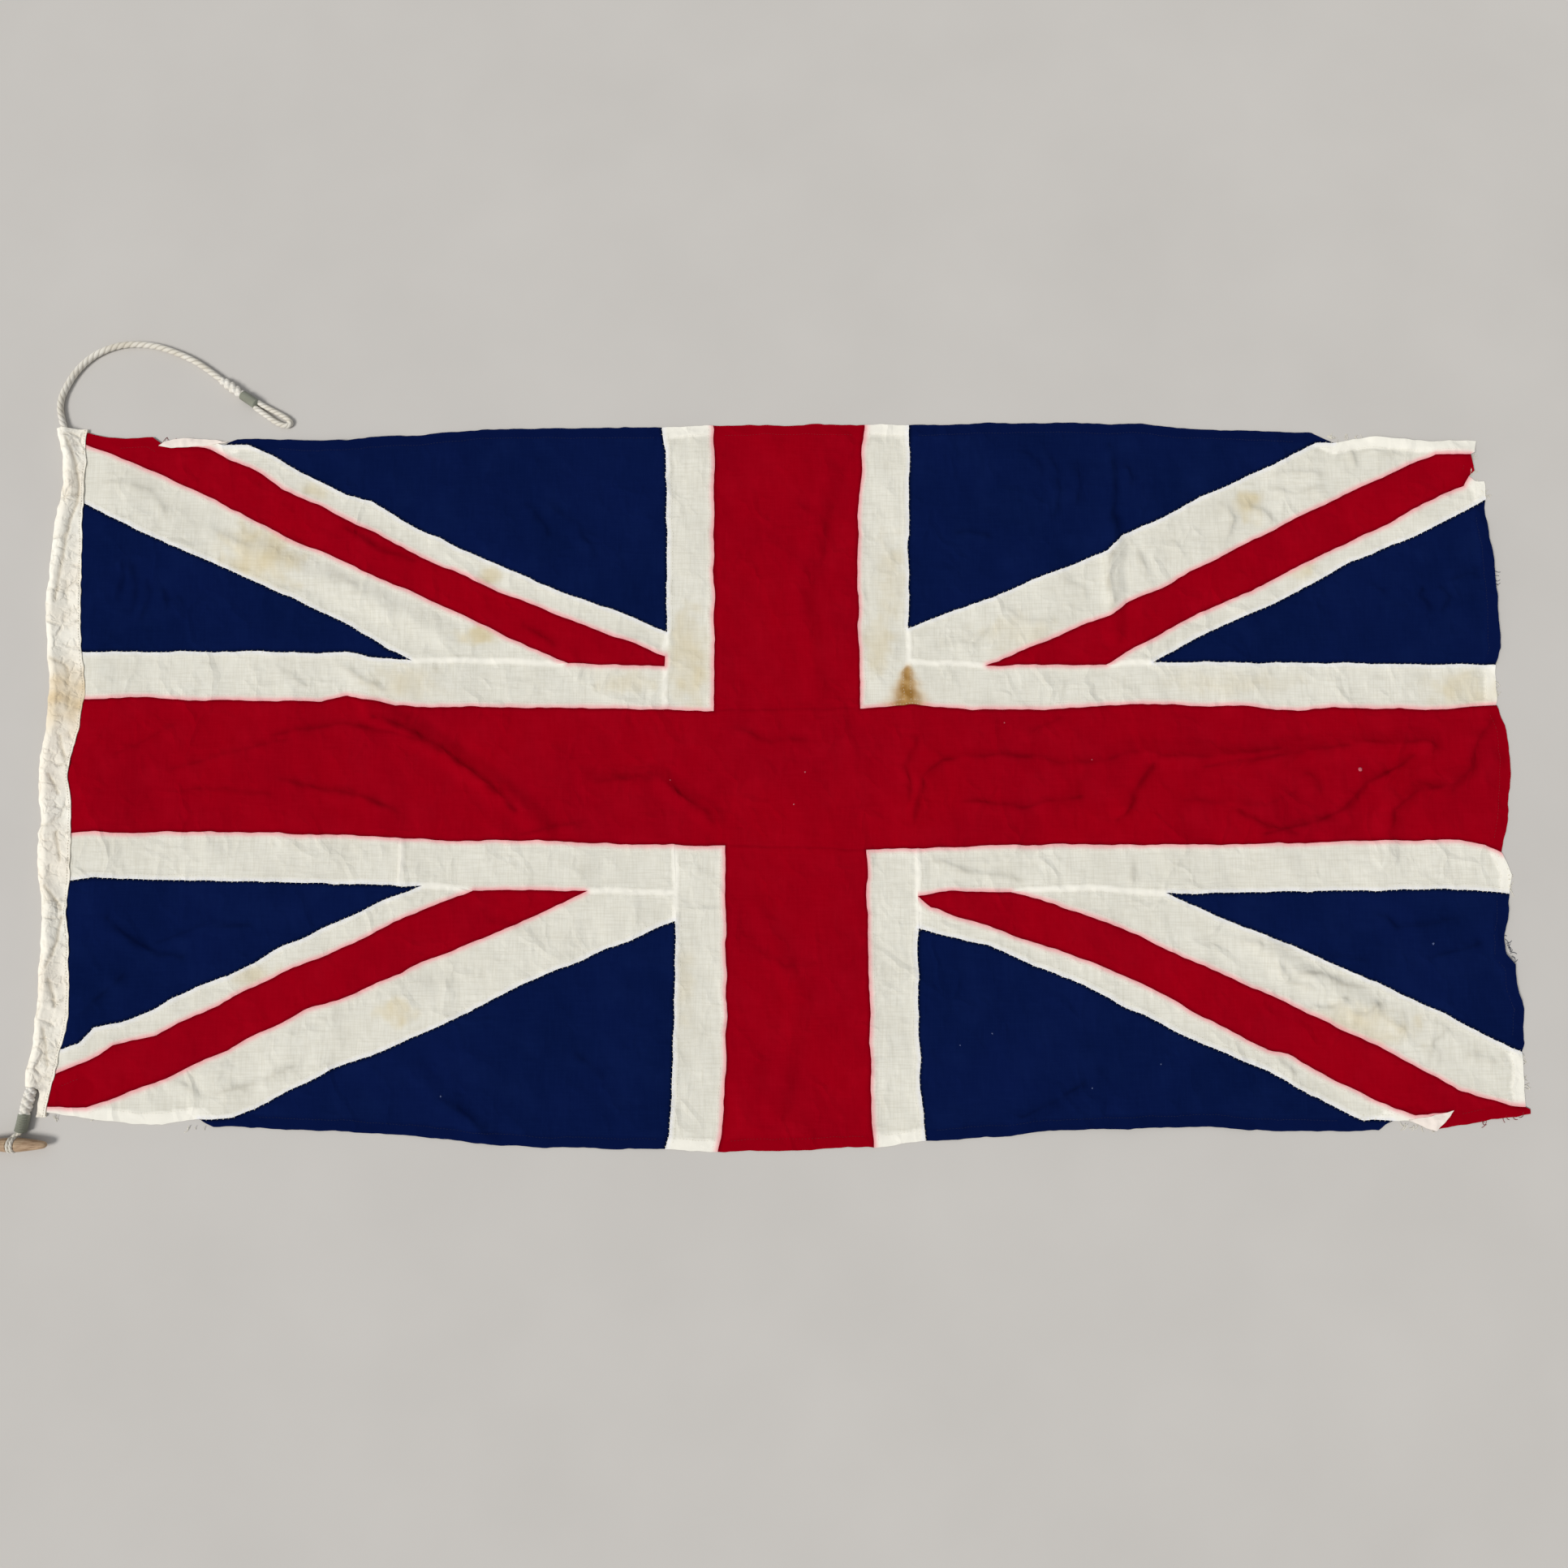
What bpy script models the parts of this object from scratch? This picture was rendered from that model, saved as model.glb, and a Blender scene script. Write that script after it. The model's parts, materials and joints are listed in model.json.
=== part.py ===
"""A worn, sewn bunting flag laid out flat on a floor.

The cloth is pieced from 32 strips and triangles. A canvas heading folded round a rope holds its
hoist edge, with a wooden toggle at one end of the rope and a tail line with an eye at the other.
Plan points are millimetres on the floor, measured from the middle of the cross, x towards the
fly and y away from the viewer. The flag lies with its toggle end, its top, towards the viewer.
"""
import math

import bmesh
import bpy
from mathutils import Vector

MM = 0.001
X, Y = 0, 1

# Driving dimensions, in millimetres
CLOTH = 1.2             # bunting with the crimp of its weave, as one panel's thickness
CANVAS = 1.2            # heading canvas
GAP = 0.3               # between pieces that touch
ROPE_RADIUS = 4.5       # hoist rope
SLEEVE_RADIUS = 5.7     # middle of the canvas where it wraps the rope
LINE_RADIUS = 4.0       # tail line
STRAND_DEPTH = 0.13     # depth of the grooves between a rope's three strands, as a share
ROPE_LAY = 26.0         # length in which a strand turns once round the rope
GRID = 56.0             # spacing of the points in which the cloth can rise and fall
TOGGLE_HALF = 43.0      # half the toggle's length
GROOVE_HALF = 4.6       # half the width of the toggle's groove
TOGGLE_CENTRE = (-942.0, -440.5, 11.2)
CENTRE = (-38.08, 8.47)  # middle of everything but the tail, which becomes the origin

# Outer edges of the cloth
HOIST = [(-908, 458), (-908, 360), (-905, 250), (-900, 170), (-893, 100), (-898, 50), (-905, 20),
         (-903, -20), (-899, -70), (-897, -120), (-896, -160), (-894, -200), (-891, -260),
         (-892, -300), (-897, -335), (-903, -370), (-905, -405)]
FLY = [(890, 443), (886, 427), (880, 424), (886, 404), (878, 396), (886, 390), (898, 389),
       (899, 368), (896, 355), (899, 325), (903, 275), (904, 227), (904, 172), (898, 153),
       (896, 101), (905, 73), (909, 34), (907, -5), (902, -45), (892, -86), (897, -96),
       (902, -112), (899, -137), (892, -169), (887, -186), (888, -211), (898, -224), (901, -257),
       (907, -277), (905, -318), (901, -330), (903, -360), (902, -395), (908, -400)]
TOP = [(-908, 455), (-896, 453), (-856, 447), (-812, 447), (-800, 439), (-781, 444), (-747, 442),
       (-722, 437), (-703, 446), (-646, 446), (-596, 442), (-534, 447), (-471, 451), (-383, 459),
       (-295, 460), (-159, 461), (-158, 463), (-96, 464), (103, 465), (161, 464), (266, 467),
       (322, 468), (463, 466), (538, 459), (619, 457), (680, 453), (708, 441), (731, 446),
       (751, 448), (827, 443), (889, 443)]
BOTTOM = [(-905, -400), (-832, -411), (-756, -417), (-711, -409), (-693, -419), (-579, -423),
          (-485, -427), (-400, -435), (-349, -441), (-258, -444), (-146, -446), (-82, -449),
          (-6, -447), (109, -443), (174, -436), (272, -430), (322, -424), (420, -421), (508, -418),
          (605, -424), (722, -424), (740, -412)]

# Level seams, hoist to fly: above and below the red bar, and beyond the white strips
WHITE_TOP_L = [(-905, 167), (-662, 168), (-585, 166), (-553, 168), (-524, 162), (-470, 157),
               (-404, 157), (-272, 152), (-151, 149)]
WHITE_TOP_R = [(157, 156), (253, 150), (407, 152), (466, 155), (618, 153), (905, 151)]
RED_TOP_L = [(-905, 106), (-821, 110), (-746, 106), (-582, 104), (-551, 111), (-506, 105),
             (-488, 98), (-398, 97), (-218, 96), (-88, 92)]
RED_TOP_R = [(97, 95), (155, 101), (236, 94), (341, 94), (392, 98), (451, 101), (592, 98),
             (646, 92), (693, 97), (810, 94), (905, 100)]
RED_LOW_L = [(-905, -61), (-709, -60), (-560, -64), (-512, -65), (-422, -71), (-304, -71),
             (-215, -75), (-73, -78)]
RED_LOW_R = [(103, -82), (189, -79), (308, -76), (454, -76), (585, -75), (763, -71), (840, -71),
             (871, -75), (895, -88)]
WHITE_LOW_L = [(-900, -122), (-859, -117), (-765, -120), (-647, -122), (-514, -125), (-448, -126),
               (-385, -132), (-243, -133), (-134, -135)]
WHITE_LOW_R = [(166, -139), (203, -134), (281, -135), (311, -132), (378, -129), (473, -136),
               (606, -134), (722, -133), (818, -130), (876, -133), (905, -138)]

# Upright seams, far edge to near edge, two on each side of the upright of the cross
ARM_TL_OUT = [(-159, 470), (-152, 430), (-149, 300), (-148, 193), (-151, 149), (-150, 90)]
ARM_TL_IN = [(-92, 470), (-90, 459), (-89, 276), (-88, 92)]
ARM_TR_IN = [(104, 470), (102, 440), (94, 340), (94, 266), (95, 162), (97, 95)]
ARM_TR_OUT = [(161, 470), (159, 330), (158, 198), (157, 156), (155, 90)]
ARM_BL_OUT = [(-136, -70), (-134, -135), (-134, -269), (-136, -358), (-140, -430), (-146, -455)]
ARM_BL_IN = [(-73, -78), (-72, -178), (-70, -283), (-72, -358), (-76, -432), (-82, -455)]
ARM_BR_IN = [(103, -82), (103, -185), (106, -283), (106, -380), (109, -455)]
ARM_BR_OUT = [(166, -70), (166, -139), (165, -283), (166, -365), (171, -426), (174, -455)]

# Slanting seams, hoist to fly, three in each quarter, each from its far end to the level seam
TL_BLUE = [(-722, 437), (-688, 438), (-660, 425), (-616, 400), (-560, 372), (-526, 361),
           (-467, 327), (-379, 286), (-320, 261), (-262, 237), (-203, 216), (-148, 193)]
TL_THIN = [(-800, 439), (-745, 434), (-686, 408), (-643, 381), (-525, 323), (-466, 292),
           (-378, 253), (-320, 228), (-231, 194), (-151, 163)]
TL_WIDE = [(-908, 443), (-895, 438), (-798, 398), (-727, 364), (-641, 320), (-523, 267),
           (-464, 241), (-347, 186), (-272, 152)]
TL_LOW = [(-908, 366), (-895, 361), (-839, 332), (-779, 305), (-708, 275), (-638, 243),
          (-567, 210), (-545, 199), (-500, 172), (-470, 157)]
TR_BLUE = [(158, 198), (207, 218), (263, 238), (318, 261), (374, 282), (411, 299), (430, 319),
           (473, 337), (535, 369), (600, 399), (686, 441), (708, 441)]
TR_WIDE = [(253, 150), (303, 170), (350, 190), (386, 205), (417, 217), (434, 230), (484, 253),
           (532, 279), (597, 311), (695, 361), (770, 397), (836, 425), (880, 424)]
TR_THIN = [(407, 152), (454, 178), (530, 220), (594, 247), (692, 296), (773, 335), (840, 371),
           (872, 383), (878, 396)]
TR_LOW = [(466, 155), (529, 189), (626, 232), (723, 284), (805, 318), (854, 343), (897, 365)]
BL_BLUE = [(-893, -329), (-880, -326), (-863, -319), (-845, -300), (-811, -294), (-775, -279),
           (-720, -250), (-683, -238), (-620, -203), (-557, -175), (-495, -145), (-448, -126)]
BL_THIN = [(-901, -362), (-888, -356), (-852, -341), (-818, -321), (-768, -308), (-681, -266),
           (-619, -234), (-528, -196), (-478, -170), (-408, -141), (-385, -132)]
BL_WIDE = [(-905, -394), (-848, -397), (-765, -366), (-679, -326), (-585, -279), (-522, -257),
           (-460, -228), (-407, -206), (-371, -192), (-294, -158), (-243, -133)]
BL_LOW = [(-711, -409), (-670, -409), (-613, -381), (-551, -350), (-495, -330), (-457, -313),
          (-390, -283), (-324, -249), (-232, -210), (-134, -170)]
BR_BLUE = [(473, -136), (529, -162), (627, -201), (712, -239), (770, -264), (841, -300),
           (901, -330)]
BR_WIDE = [(281, -135), (361, -157), (426, -184), (514, -224), (651, -286), (741, -330),
           (821, -374), (882, -394), (902, -395)]
BR_THIN = [(166, -139), (181, -154), (244, -174), (327, -203), (375, -219), (442, -247),
           (512, -286), (592, -328), (616, -331), (673, -365), (738, -395), (768, -405),
           (813, -401), (790, -423), (768, -410), (740, -412)]
BR_LOW = [(166, -179), (244, -199), (352, -241), (424, -277), (511, -319), (591, -353),
          (640, -380), (703, -411), (740, -412)]
BR_RED_HEM = [(790, -423), (845, -413), (908, -403)]
LOWER_LEFT_JOIN = -475  # where the lower left white strip is joined from two pieces

# Heading stations down the hoist: y, outer edge x, rope centre x, inner edge x
HEADING = [(457, -933, -924, -897), (440, -929, -920, -897), (420, -924, -915, -896),
           (395, -922, -913, -896), (365, -924, -914, -896), (335, -928, -918, -896),
           (300, -930, -921, -895), (270, -932, -924, -893), (240, -933, -925, -892),
           (205, -933, -925, -890), (170, -928, -920, -887), (145, -925, -916, -883),
           (120, -923, -913, -880), (95, -924, -913, -882), (70, -924, -914, -884),
           (45, -928, -919, -890), (20, -930, -921, -895), (-5, -928, -919, -892),
           (-35, -924, -915, -889), (-65, -924, -915, -887), (-100, -924, -914, -886),
           (-130, -919, -910, -886), (-160, -915, -906, -886), (-200, -914, -905, -882),
           (-240, -914, -905, -879), (-280, -914, -906, -877), (-310, -916, -908, -880),
           (-340, -921, -912, -886), (-370, -923, -915, -893), (-388, -923, -917, -896),
           (-407, -921, -917, -897)]
ROPE_LEAVES_SLEEVE = -371
FLAP_COLUMNS = 2        # columns of canvas in each flap, all that is left of it below that

# Tail line from the heading's far end to its serving, and the eye beyond it: x, y, height
TAIL = [(-924, 457.8, 5.2), (-928, 468, 4.3), (-932, 485, 4.1), (-931, 500, 4.1), (-926, 514, 4.1),
        (-917, 531, 4.1), (-904, 547, 4.1), (-887, 560, 4.1), (-865, 569, 4.1), (-840, 572, 4.1),
        (-812, 569, 4.1), (-785, 560, 4.1), (-760, 548, 4.1), (-738, 533, 4.2), (-720, 519, 5.0),
        (-702.5, 506.5, 6.4)]
TAIL_SERVING = [(-702.2, 506.3, 6.6), (-693, 500, 6.6), (-683.8, 493.7, 6.6)]
TAIL_SERVING_RADIUS = 6.4
EYE_RADIUS = 3.1
EYE = [(-680.6, 496.3, 5.5), (-673, 491, 3.9), (-660, 484, 3.2), (-646, 476.5, 3.2),
       (-638, 471, 3.2), (-635, 466, 3.2), (-639, 463, 3.2), (-646, 464, 3.2), (-655, 468.5, 3.2),
       (-665, 476, 3.2), (-677, 484.2, 3.9), (-685.1, 489.7, 5.5)]

# Toggle end of the hoist rope
SPLICE = [(-915.5, -372.2, 6.4), (-918, -380, 6.6), (-920, -390, 6.8), (-922, -402.5, 6.8)]
TOGGLE_SERVING = [(-922.1, -403.2, 6.9), (-922.7, -406.6, 6.9), (-925.6, -413.5, 6.9),
                  (-930, -423.5, 6.9)]
TOGGLE_SERVING_RADIUS = 6.6
BECKET_NECK = [(-930.2, -424.1, 7.0), (-931.0, -426.0, 7.2), (-934.5, -428.2, 8.0),
               (-939, -429.2, 9.2), (-942, -431.5, 10.3), (-942, -433.2, 11.0)]

# Soft folds that stand off the floor: height, half width, and the line that they follow
FOLDS = [
    (5.0, 34, [(-520, 95), (-478, 75), (-380, 14), (-328, -28), (-300, -60)]),
    (3.5, 32, [(-246, 2), (-201, 8), (-156, 8), (-90, -43)]),
    (4.5, 34, [(330, -25), (380, 25), (430, 42), (574, 34), (652, 45), (808, 53)]),
    (4.0, 34, [(808, 49), (740, -15), (679, -64)]),
    (4.0, 34, [(885, 30), (800, -10), (757, -29), (748, -90)]),
    (5.0, 30, [(420, 330), (420, 260), (418, 190)]),
    (4.5, 36, [(590, -200), (660, -250), (745, -290)]),
    (3.5, 34, [(289, -410), (330, -380), (380, -360)]),
    (3.5, 34, [(-361, -430), (-417, -384), (-450, -350)]),
    (4.0, 40, [(-680, 300), (-560, 250), (-430, 190)]),
    (3.5, 36, [(-700, -360), (-560, -300), (-420, -250)]),
    (3.0, 34, [(60, 400), (20, 250), (40, 120)]),
    (3.0, 34, [(-30, -150), (20, -270), (-10, -400)]),
    (4.0, 34, [(-640, 455), (-590, 440), (-500, 455)]),
    (4.0, 34, [(300, -440), (420, -425), (560, -428)]),
    (4.0, 34, [(895, 330), (905, 240), (905, 160)]),
    (4.5, 34, [(905, -150), (880, -190), (905, -260)]),
    (4.0, 34, [(760, 450), (830, 436), (895, 420)]),
]
HOIST_LIFT = 1.5        # the lower canvas lies under the hoist edge
LIFT_FULL, LIFT_END = -850, -780

RED, BLUE, WHITE = (0.27, 0.001, 0.008), (0.003, 0.008, 0.05), (0.72, 0.70, 0.62)
CREAM, ROPE, SERVING = (0.84, 0.78, 0.66), (0.69, 0.62, 0.51), (0.23, 0.24, 0.2)
WOOD = (0.35, 0.24, 0.14)


def collection(name):
    """A collection in the scene, made when it is first asked for."""
    found = bpy.data.collections.get(name)
    if found is None:
        found = bpy.data.collections.new(name)
        bpy.context.scene.collection.children.link(found)
    return found


def material(name, colour, roughness):
    """A plain Principled material."""
    finish = bpy.data.materials.new(name)
    finish.use_nodes = True
    shader = finish.node_tree.nodes["Principled BSDF"]
    shader.inputs["Base Color"].default_value = (*colour, 1)
    shader.inputs["Roughness"].default_value = roughness
    shader.inputs["Metallic"].default_value = 0
    return finish


def to_world(x, y, z=0.0):
    """A plan point in millimetres as a place in metres from the part's origin."""
    return Vector(((x - CENTRE[X]) * MM, (y - CENTRE[Y]) * MM, z * MM))


def linked(name, data, colour, roughness=0.9, folder="flag"):
    """An object of this mesh or curve with its own material."""
    thing = bpy.data.objects.new(name, data)
    collection(folder).objects.link(thing)
    data.materials.append(material(name, colour, roughness))
    return thing


def baked(thing):
    """The curve as a mesh object with its caps welded."""
    depsgraph = bpy.context.evaluated_depsgraph_get()
    mesh = bpy.data.meshes.new_from_object(thing.evaluated_get(depsgraph))
    work = bmesh.new()
    work.from_mesh(mesh)
    bmesh.ops.remove_doubles(work, verts=work.verts, dist=0.00001)
    work.to_mesh(mesh)
    work.free()
    name = thing.name
    home = thing.users_collection[0]
    curve = thing.data
    matrix = thing.matrix_world.copy()
    bpy.data.objects.remove(thing)
    bpy.data.curves.remove(curve)
    solid = bpy.data.objects.new(name, mesh)
    solid.matrix_world = matrix
    home.objects.link(solid)
    return solid


def at(line, value, axis):
    """The point of a line where its x or y has this value."""
    for start, end in zip(line, line[1:]):
        low, high = sorted((start[axis], end[axis]))
        if low <= value <= high and low < high:
            share = (value - start[axis]) / (end[axis] - start[axis])
            return tuple(a + share * (b - a) for a, b in zip(start, end))
    return min((line[0], line[-1]), key=lambda point: abs(point[axis] - value))


def span(line, start, end, axis):
    """The stretch of a line between two values of x or y, in that direction."""
    low, high = sorted((start, end))
    inner = [point for point in line if low < point[axis] < high]
    inner.sort(key=lambda point: point[axis], reverse=start > end)
    return [at(line, start, axis), *inner, at(line, end, axis)]


def outline(*stretches):
    """Stretches of seams as one closed outline without repeated points."""
    points = [point for stretch in stretches for point in stretch]
    kept = []
    for point in points:
        if not kept or math.dist(point, kept[-1]) > 0.6:
            kept.append(point)
    if math.dist(kept[0], kept[-1]) < 0.6:
        kept.pop()
    return kept


def inset(points, amount):
    """The outline moved inwards, so that neighbours stay apart."""
    area = sum(a[X] * b[Y] - b[X] * a[Y] for a, b in zip(points, points[1:] + points[:1]))
    side = 1 if area > 0 else -1
    moved = []
    for index, point in enumerate(points):
        before = Vector(point) - Vector(points[index - 1])
        after = Vector(points[(index + 1) % len(points)]) - Vector(point)
        first = Vector((-before.y, before.x)).normalized() * side
        second = Vector((-after.y, after.x)).normalized() * side
        mitre = first + second
        reach = amount * 2 / max(mitre.length_squared, 0.08)
        moved.append(Vector(point) + mitre * reach)
    return moved


def distance_to(line, x, y):
    """How far a plan point lies from a line of points."""
    here = Vector((x, y))
    nearest = 1e9
    for start, end in zip(line, line[1:]):
        start, end = Vector(start), Vector(end)
        along = end - start
        share = max(0.0, min(1.0, (here - start).dot(along) / along.length_squared))
        nearest = min(nearest, (here - start - along * share).length)
    return nearest


def turned_out(work):
    """Faces all the same way round, pointing out."""
    bmesh.ops.recalc_face_normals(work, faces=work.faces)
    if work.calc_volume(signed=True) < 0:
        bmesh.ops.reverse_faces(work, faces=work.faces)


def soft_step(value):
    """0 below 0, 1 above 1, smooth between."""
    value = max(0.0, min(1.0, value))
    return value * value * (3 - 2 * value)


def rise(x, y):
    """Height of the cloth's underside above the floor at a plan point."""
    fold = 0.0
    for height, half_width, line in FOLDS:
        far = distance_to(line, x, y) / half_width
        if far < 1:
            fold = max(fold, height * (0.5 + 0.5 * math.cos(math.pi * far)))
    lift = HOIST_LIFT * soft_step((LIFT_END - x) / (LIFT_END - LIFT_FULL))
    return lift + fold * soft_step((x - LIFT_FULL) / (LIFT_END - LIFT_FULL))


def panel(name, colour, points):
    """One cut piece of bunting: a flat outline that rises where the cloth is folded."""
    curve = bpy.data.curves.new(name, "CURVE")
    curve.dimensions = "2D"
    curve.fill_mode = "BOTH"
    curve.extrude = CLOTH * MM / 2
    edge = inset(points, GAP / 2)
    spline = curve.splines.new("POLY")
    spline.points.add(len(edge) - 1)
    for target, point in zip(spline.points, edge):
        target.co = (*to_world(*point, 0), 1)
    spline.use_cyclic_u = True
    flat = bpy.data.objects.new(name, curve)
    collection("flag").objects.link(flat)
    solid = baked(flat)
    work = bmesh.new()
    work.from_mesh(solid.data)
    for side in (1, -1):
        flat_faces = [face for face in work.faces
                      if all(vert.co.z * side > 0 for vert in face.verts)]
        bmesh.ops.dissolve_faces(work, faces=flat_faces)
    for axis in (X, Y):
        values = [vert.co[axis] for vert in work.verts]
        step = GRID * MM
        line = math.ceil(min(values) / step + 0.2) * step
        while line < max(values) - 0.2 * step:
            spot, normal = [0, 0, 0], [0, 0, 0]
            spot[axis], normal[axis] = line, 1
            parts = work.verts[:] + work.edges[:] + work.faces[:]
            bmesh.ops.bisect_plane(work, geom=parts, dist=1e-7, plane_co=spot, plane_no=normal)
            line += step
    others = [face for face in work.faces if any(vert.co.z < 0 for vert in face.verts)]
    bmesh.ops.delete(work, geom=others, context="FACES")
    bmesh.ops.triangulate(work, faces=work.faces)
    for vert in work.verts:
        vert.co.z = rise(vert.co.x / MM + CENTRE[X], vert.co.y / MM + CENTRE[Y]) * MM
    raised = bmesh.ops.extrude_face_region(work, geom=work.faces[:])["geom"]
    upper = [item for item in raised if isinstance(item, bmesh.types.BMVert)]
    bmesh.ops.translate(work, verts=upper, vec=(0, 0, CLOTH * MM))
    turned_out(work)
    work.to_mesh(solid.data)
    work.free()
    solid.data.materials.append(material(name, colour, 0.9))
    return solid


def red_cross():
    """The level bar runs from hoist to fly; the upright is a piece above and one below it."""
    across = outline(span(RED_TOP_L, -905, -88, X), span(RED_TOP_R, 97, 905, X),
                     span(FLY, 99, -86, Y), span(RED_LOW_R, 892, 103, X),
                     span(RED_LOW_L, -73, -905, X), span(HOIST, -61, 106, Y))
    kept = [point for point in across if at(HOIST, point[Y], Y)[X] - 1 <= point[X] <= 910]
    panel("red_bar", RED, [point for point in kept if point[X] <= at(FLY, point[Y], Y)[X] + 1])
    panel("red_upright_far", RED,
          outline(span(ARM_TL_IN, 464, 92, Y), span(ARM_TR_IN, 95, 465, Y)))
    panel("red_upright_near", RED,
          outline(span(ARM_BL_IN, -78, -449, Y), [(-6, -447)], span(ARM_BR_IN, -443, -82, Y)))


def white_arms():
    """The four white strips beside the upright, each down to the level bar."""
    panel("white_arm_far_left", WHITE,
          outline(span(ARM_TL_OUT, 461, 94, Y), span(RED_TOP_L, -150, -88, X),
                  span(ARM_TL_IN, 92, 464, Y)))
    panel("white_arm_far_right", WHITE,
          outline(span(ARM_TR_IN, 465, 95, Y), span(RED_TOP_R, 97, 155, X),
                  span(ARM_TR_OUT, 101, 464, Y)))
    panel("white_arm_near_left", WHITE,
          outline(span(ARM_BL_OUT, -77, -446, Y), span(ARM_BL_IN, -449, -78, Y)))
    panel("white_arm_near_right", WHITE,
          outline(span(ARM_BR_IN, -82, -443, Y), span(ARM_BR_OUT, -436, -80, Y)))


def white_strips():
    """The white strips above and below the level bar, out from the arms."""
    panel("white_strip_far_left", WHITE,
          outline(span(WHITE_TOP_L, -900, -151, X), span(RED_TOP_L, -150, -893, X),
                  span(HOIST, 106, 167, Y)))
    panel("white_strip_far_right", WHITE,
          outline(span(WHITE_TOP_R, 157, 898, X), span(FLY, 151, 102, Y),
                  span(RED_TOP_R, 895, 155, X)))
    low = span(WHITE_LOW_L, LOWER_LEFT_JOIN, -134, X)
    panel("white_strip_near_left", WHITE,
          outline(span(RED_LOW_L, -136, LOWER_LEFT_JOIN, X), low))
    low = span(WHITE_LOW_L, -897, LOWER_LEFT_JOIN, X)
    panel("white_strip_near_left_end", WHITE,
          outline(span(RED_LOW_L, LOWER_LEFT_JOIN, -899, X), span(HOIST, -62, -121, Y), low))
    panel("white_strip_near_right", WHITE,
          outline(span(RED_LOW_R, 166, 892, X), span(FLY, -87, -136, Y),
                  span(WHITE_LOW_R, 899, 166, X)))


def far_left_quarter():
    """Blue, narrow white, red, wide white, blue, from the far edge to the level strip."""
    panel("blue_far_left_upper", BLUE,
          outline(TL_BLUE, span(ARM_TL_OUT, 193, 461, Y), span(TOP, -159, -722, X)))
    panel("thin_white_far_left", WHITE,
          outline(TL_THIN, span(ARM_TL_OUT, 163, 193, Y), TL_BLUE[::-1],
                  span(TOP, -722, -800, X)))
    panel("red_slant_far_left", RED,
          outline(TL_WIDE, span(WHITE_TOP_L, -272, -151, X), span(ARM_TL_OUT, 149, 163, Y),
                  TL_THIN[::-1], span(TOP, -800, -908, X)))
    panel("wide_white_far_left", WHITE,
          outline(TL_LOW, span(WHITE_TOP_L, -470, -272, X), TL_WIDE[::-1],
                  span(HOIST, 443, 366, Y)))
    panel("blue_far_left_lower", BLUE,
          outline(TL_LOW, span(WHITE_TOP_L, -470, -900, X), span(HOIST, 167, 366, Y)))


def far_right_quarter():
    """Blue, wide white, red, narrow white, blue, from the far edge to the level strip."""
    panel("blue_far_right_upper", BLUE,
          outline(TR_BLUE, span(TOP, 708, 161, X), span(ARM_TR_OUT, 464, 198, Y)))
    panel("wide_white_far_right", WHITE,
          outline(span(WHITE_TOP_R, 157, 253, X), TR_WIDE, span(FLY, 425, 443, Y),
                  span(TOP, 889, 708, X), TR_BLUE[::-1], span(ARM_TR_OUT, 198, 156, Y)))
    panel("red_slant_far_right", RED,
          outline(TR_WIDE, span(FLY, 423, 396, Y), TR_THIN[::-1],
                  span(WHITE_TOP_R, 407, 253, X)))
    panel("thin_white_far_right", WHITE,
          outline(TR_THIN, span(FLY, 395, 366, Y), TR_LOW[::-1],
                  span(WHITE_TOP_R, 466, 407, X)))
    panel("blue_far_right_lower", BLUE,
          outline(TR_LOW, span(FLY, 364, 151, Y), span(WHITE_TOP_R, 898, 466, X)))


def near_left_quarter():
    """Blue, narrow white, red, wide white, blue, from the level strip to the near edge."""
    panel("blue_near_left_upper", BLUE,
          outline(BL_BLUE, span(WHITE_LOW_L, -448, -897, X), span(HOIST, -122, -329, Y)))
    panel("thin_white_near_left", WHITE,
          outline(BL_THIN, span(WHITE_LOW_L, -385, -448, X), BL_BLUE[::-1],
                  span(HOIST, -329, -362, Y)))
    panel("red_slant_near_left", RED,
          outline(BL_WIDE, span(WHITE_LOW_L, -243, -385, X), BL_THIN[::-1],
                  span(HOIST, -362, -394, Y)))
    panel("wide_white_near_left", WHITE,
          outline(span(BOTTOM, -905, -711, X), BL_LOW, span(ARM_BL_OUT, -170, -135, Y),
                  span(WHITE_LOW_L, -134, -243, X), BL_WIDE[::-1]))
    panel("blue_near_left_lower", BLUE,
          outline(BL_LOW, span(ARM_BL_OUT, -170, -446, Y), span(BOTTOM, -146, -711, X)))


def near_right_quarter():
    """Blue, wide white, red, narrow white, blue, from the level strip to the near edge."""
    panel("blue_near_right_upper", BLUE,
          outline(BR_BLUE, span(FLY, -329, -137, Y), span(WHITE_LOW_R, 899, 473, X)))
    panel("wide_white_near_right", WHITE,
          outline(BR_WIDE, span(FLY, -395, -330, Y), BR_BLUE[::-1],
                  span(WHITE_LOW_R, 473, 281, X)))
    turned = BR_THIN.index((790, -423)) + 1
    panel("red_slant_near_right", RED,
          outline(BR_THIN[:turned], BR_RED_HEM, [(908, -398)], BR_WIDE[::-1],
                  span(WHITE_LOW_R, 281, 166, X)))
    panel("thin_white_near_right", WHITE,
          outline(BR_LOW, BR_THIN[::-1], span(ARM_BR_OUT, -139, -179, Y)))
    panel("blue_near_right_lower", BLUE,
          outline(BR_LOW, span(BOTTOM, 740, 174, X), span(ARM_BR_OUT, -436, -179, Y)))


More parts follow.
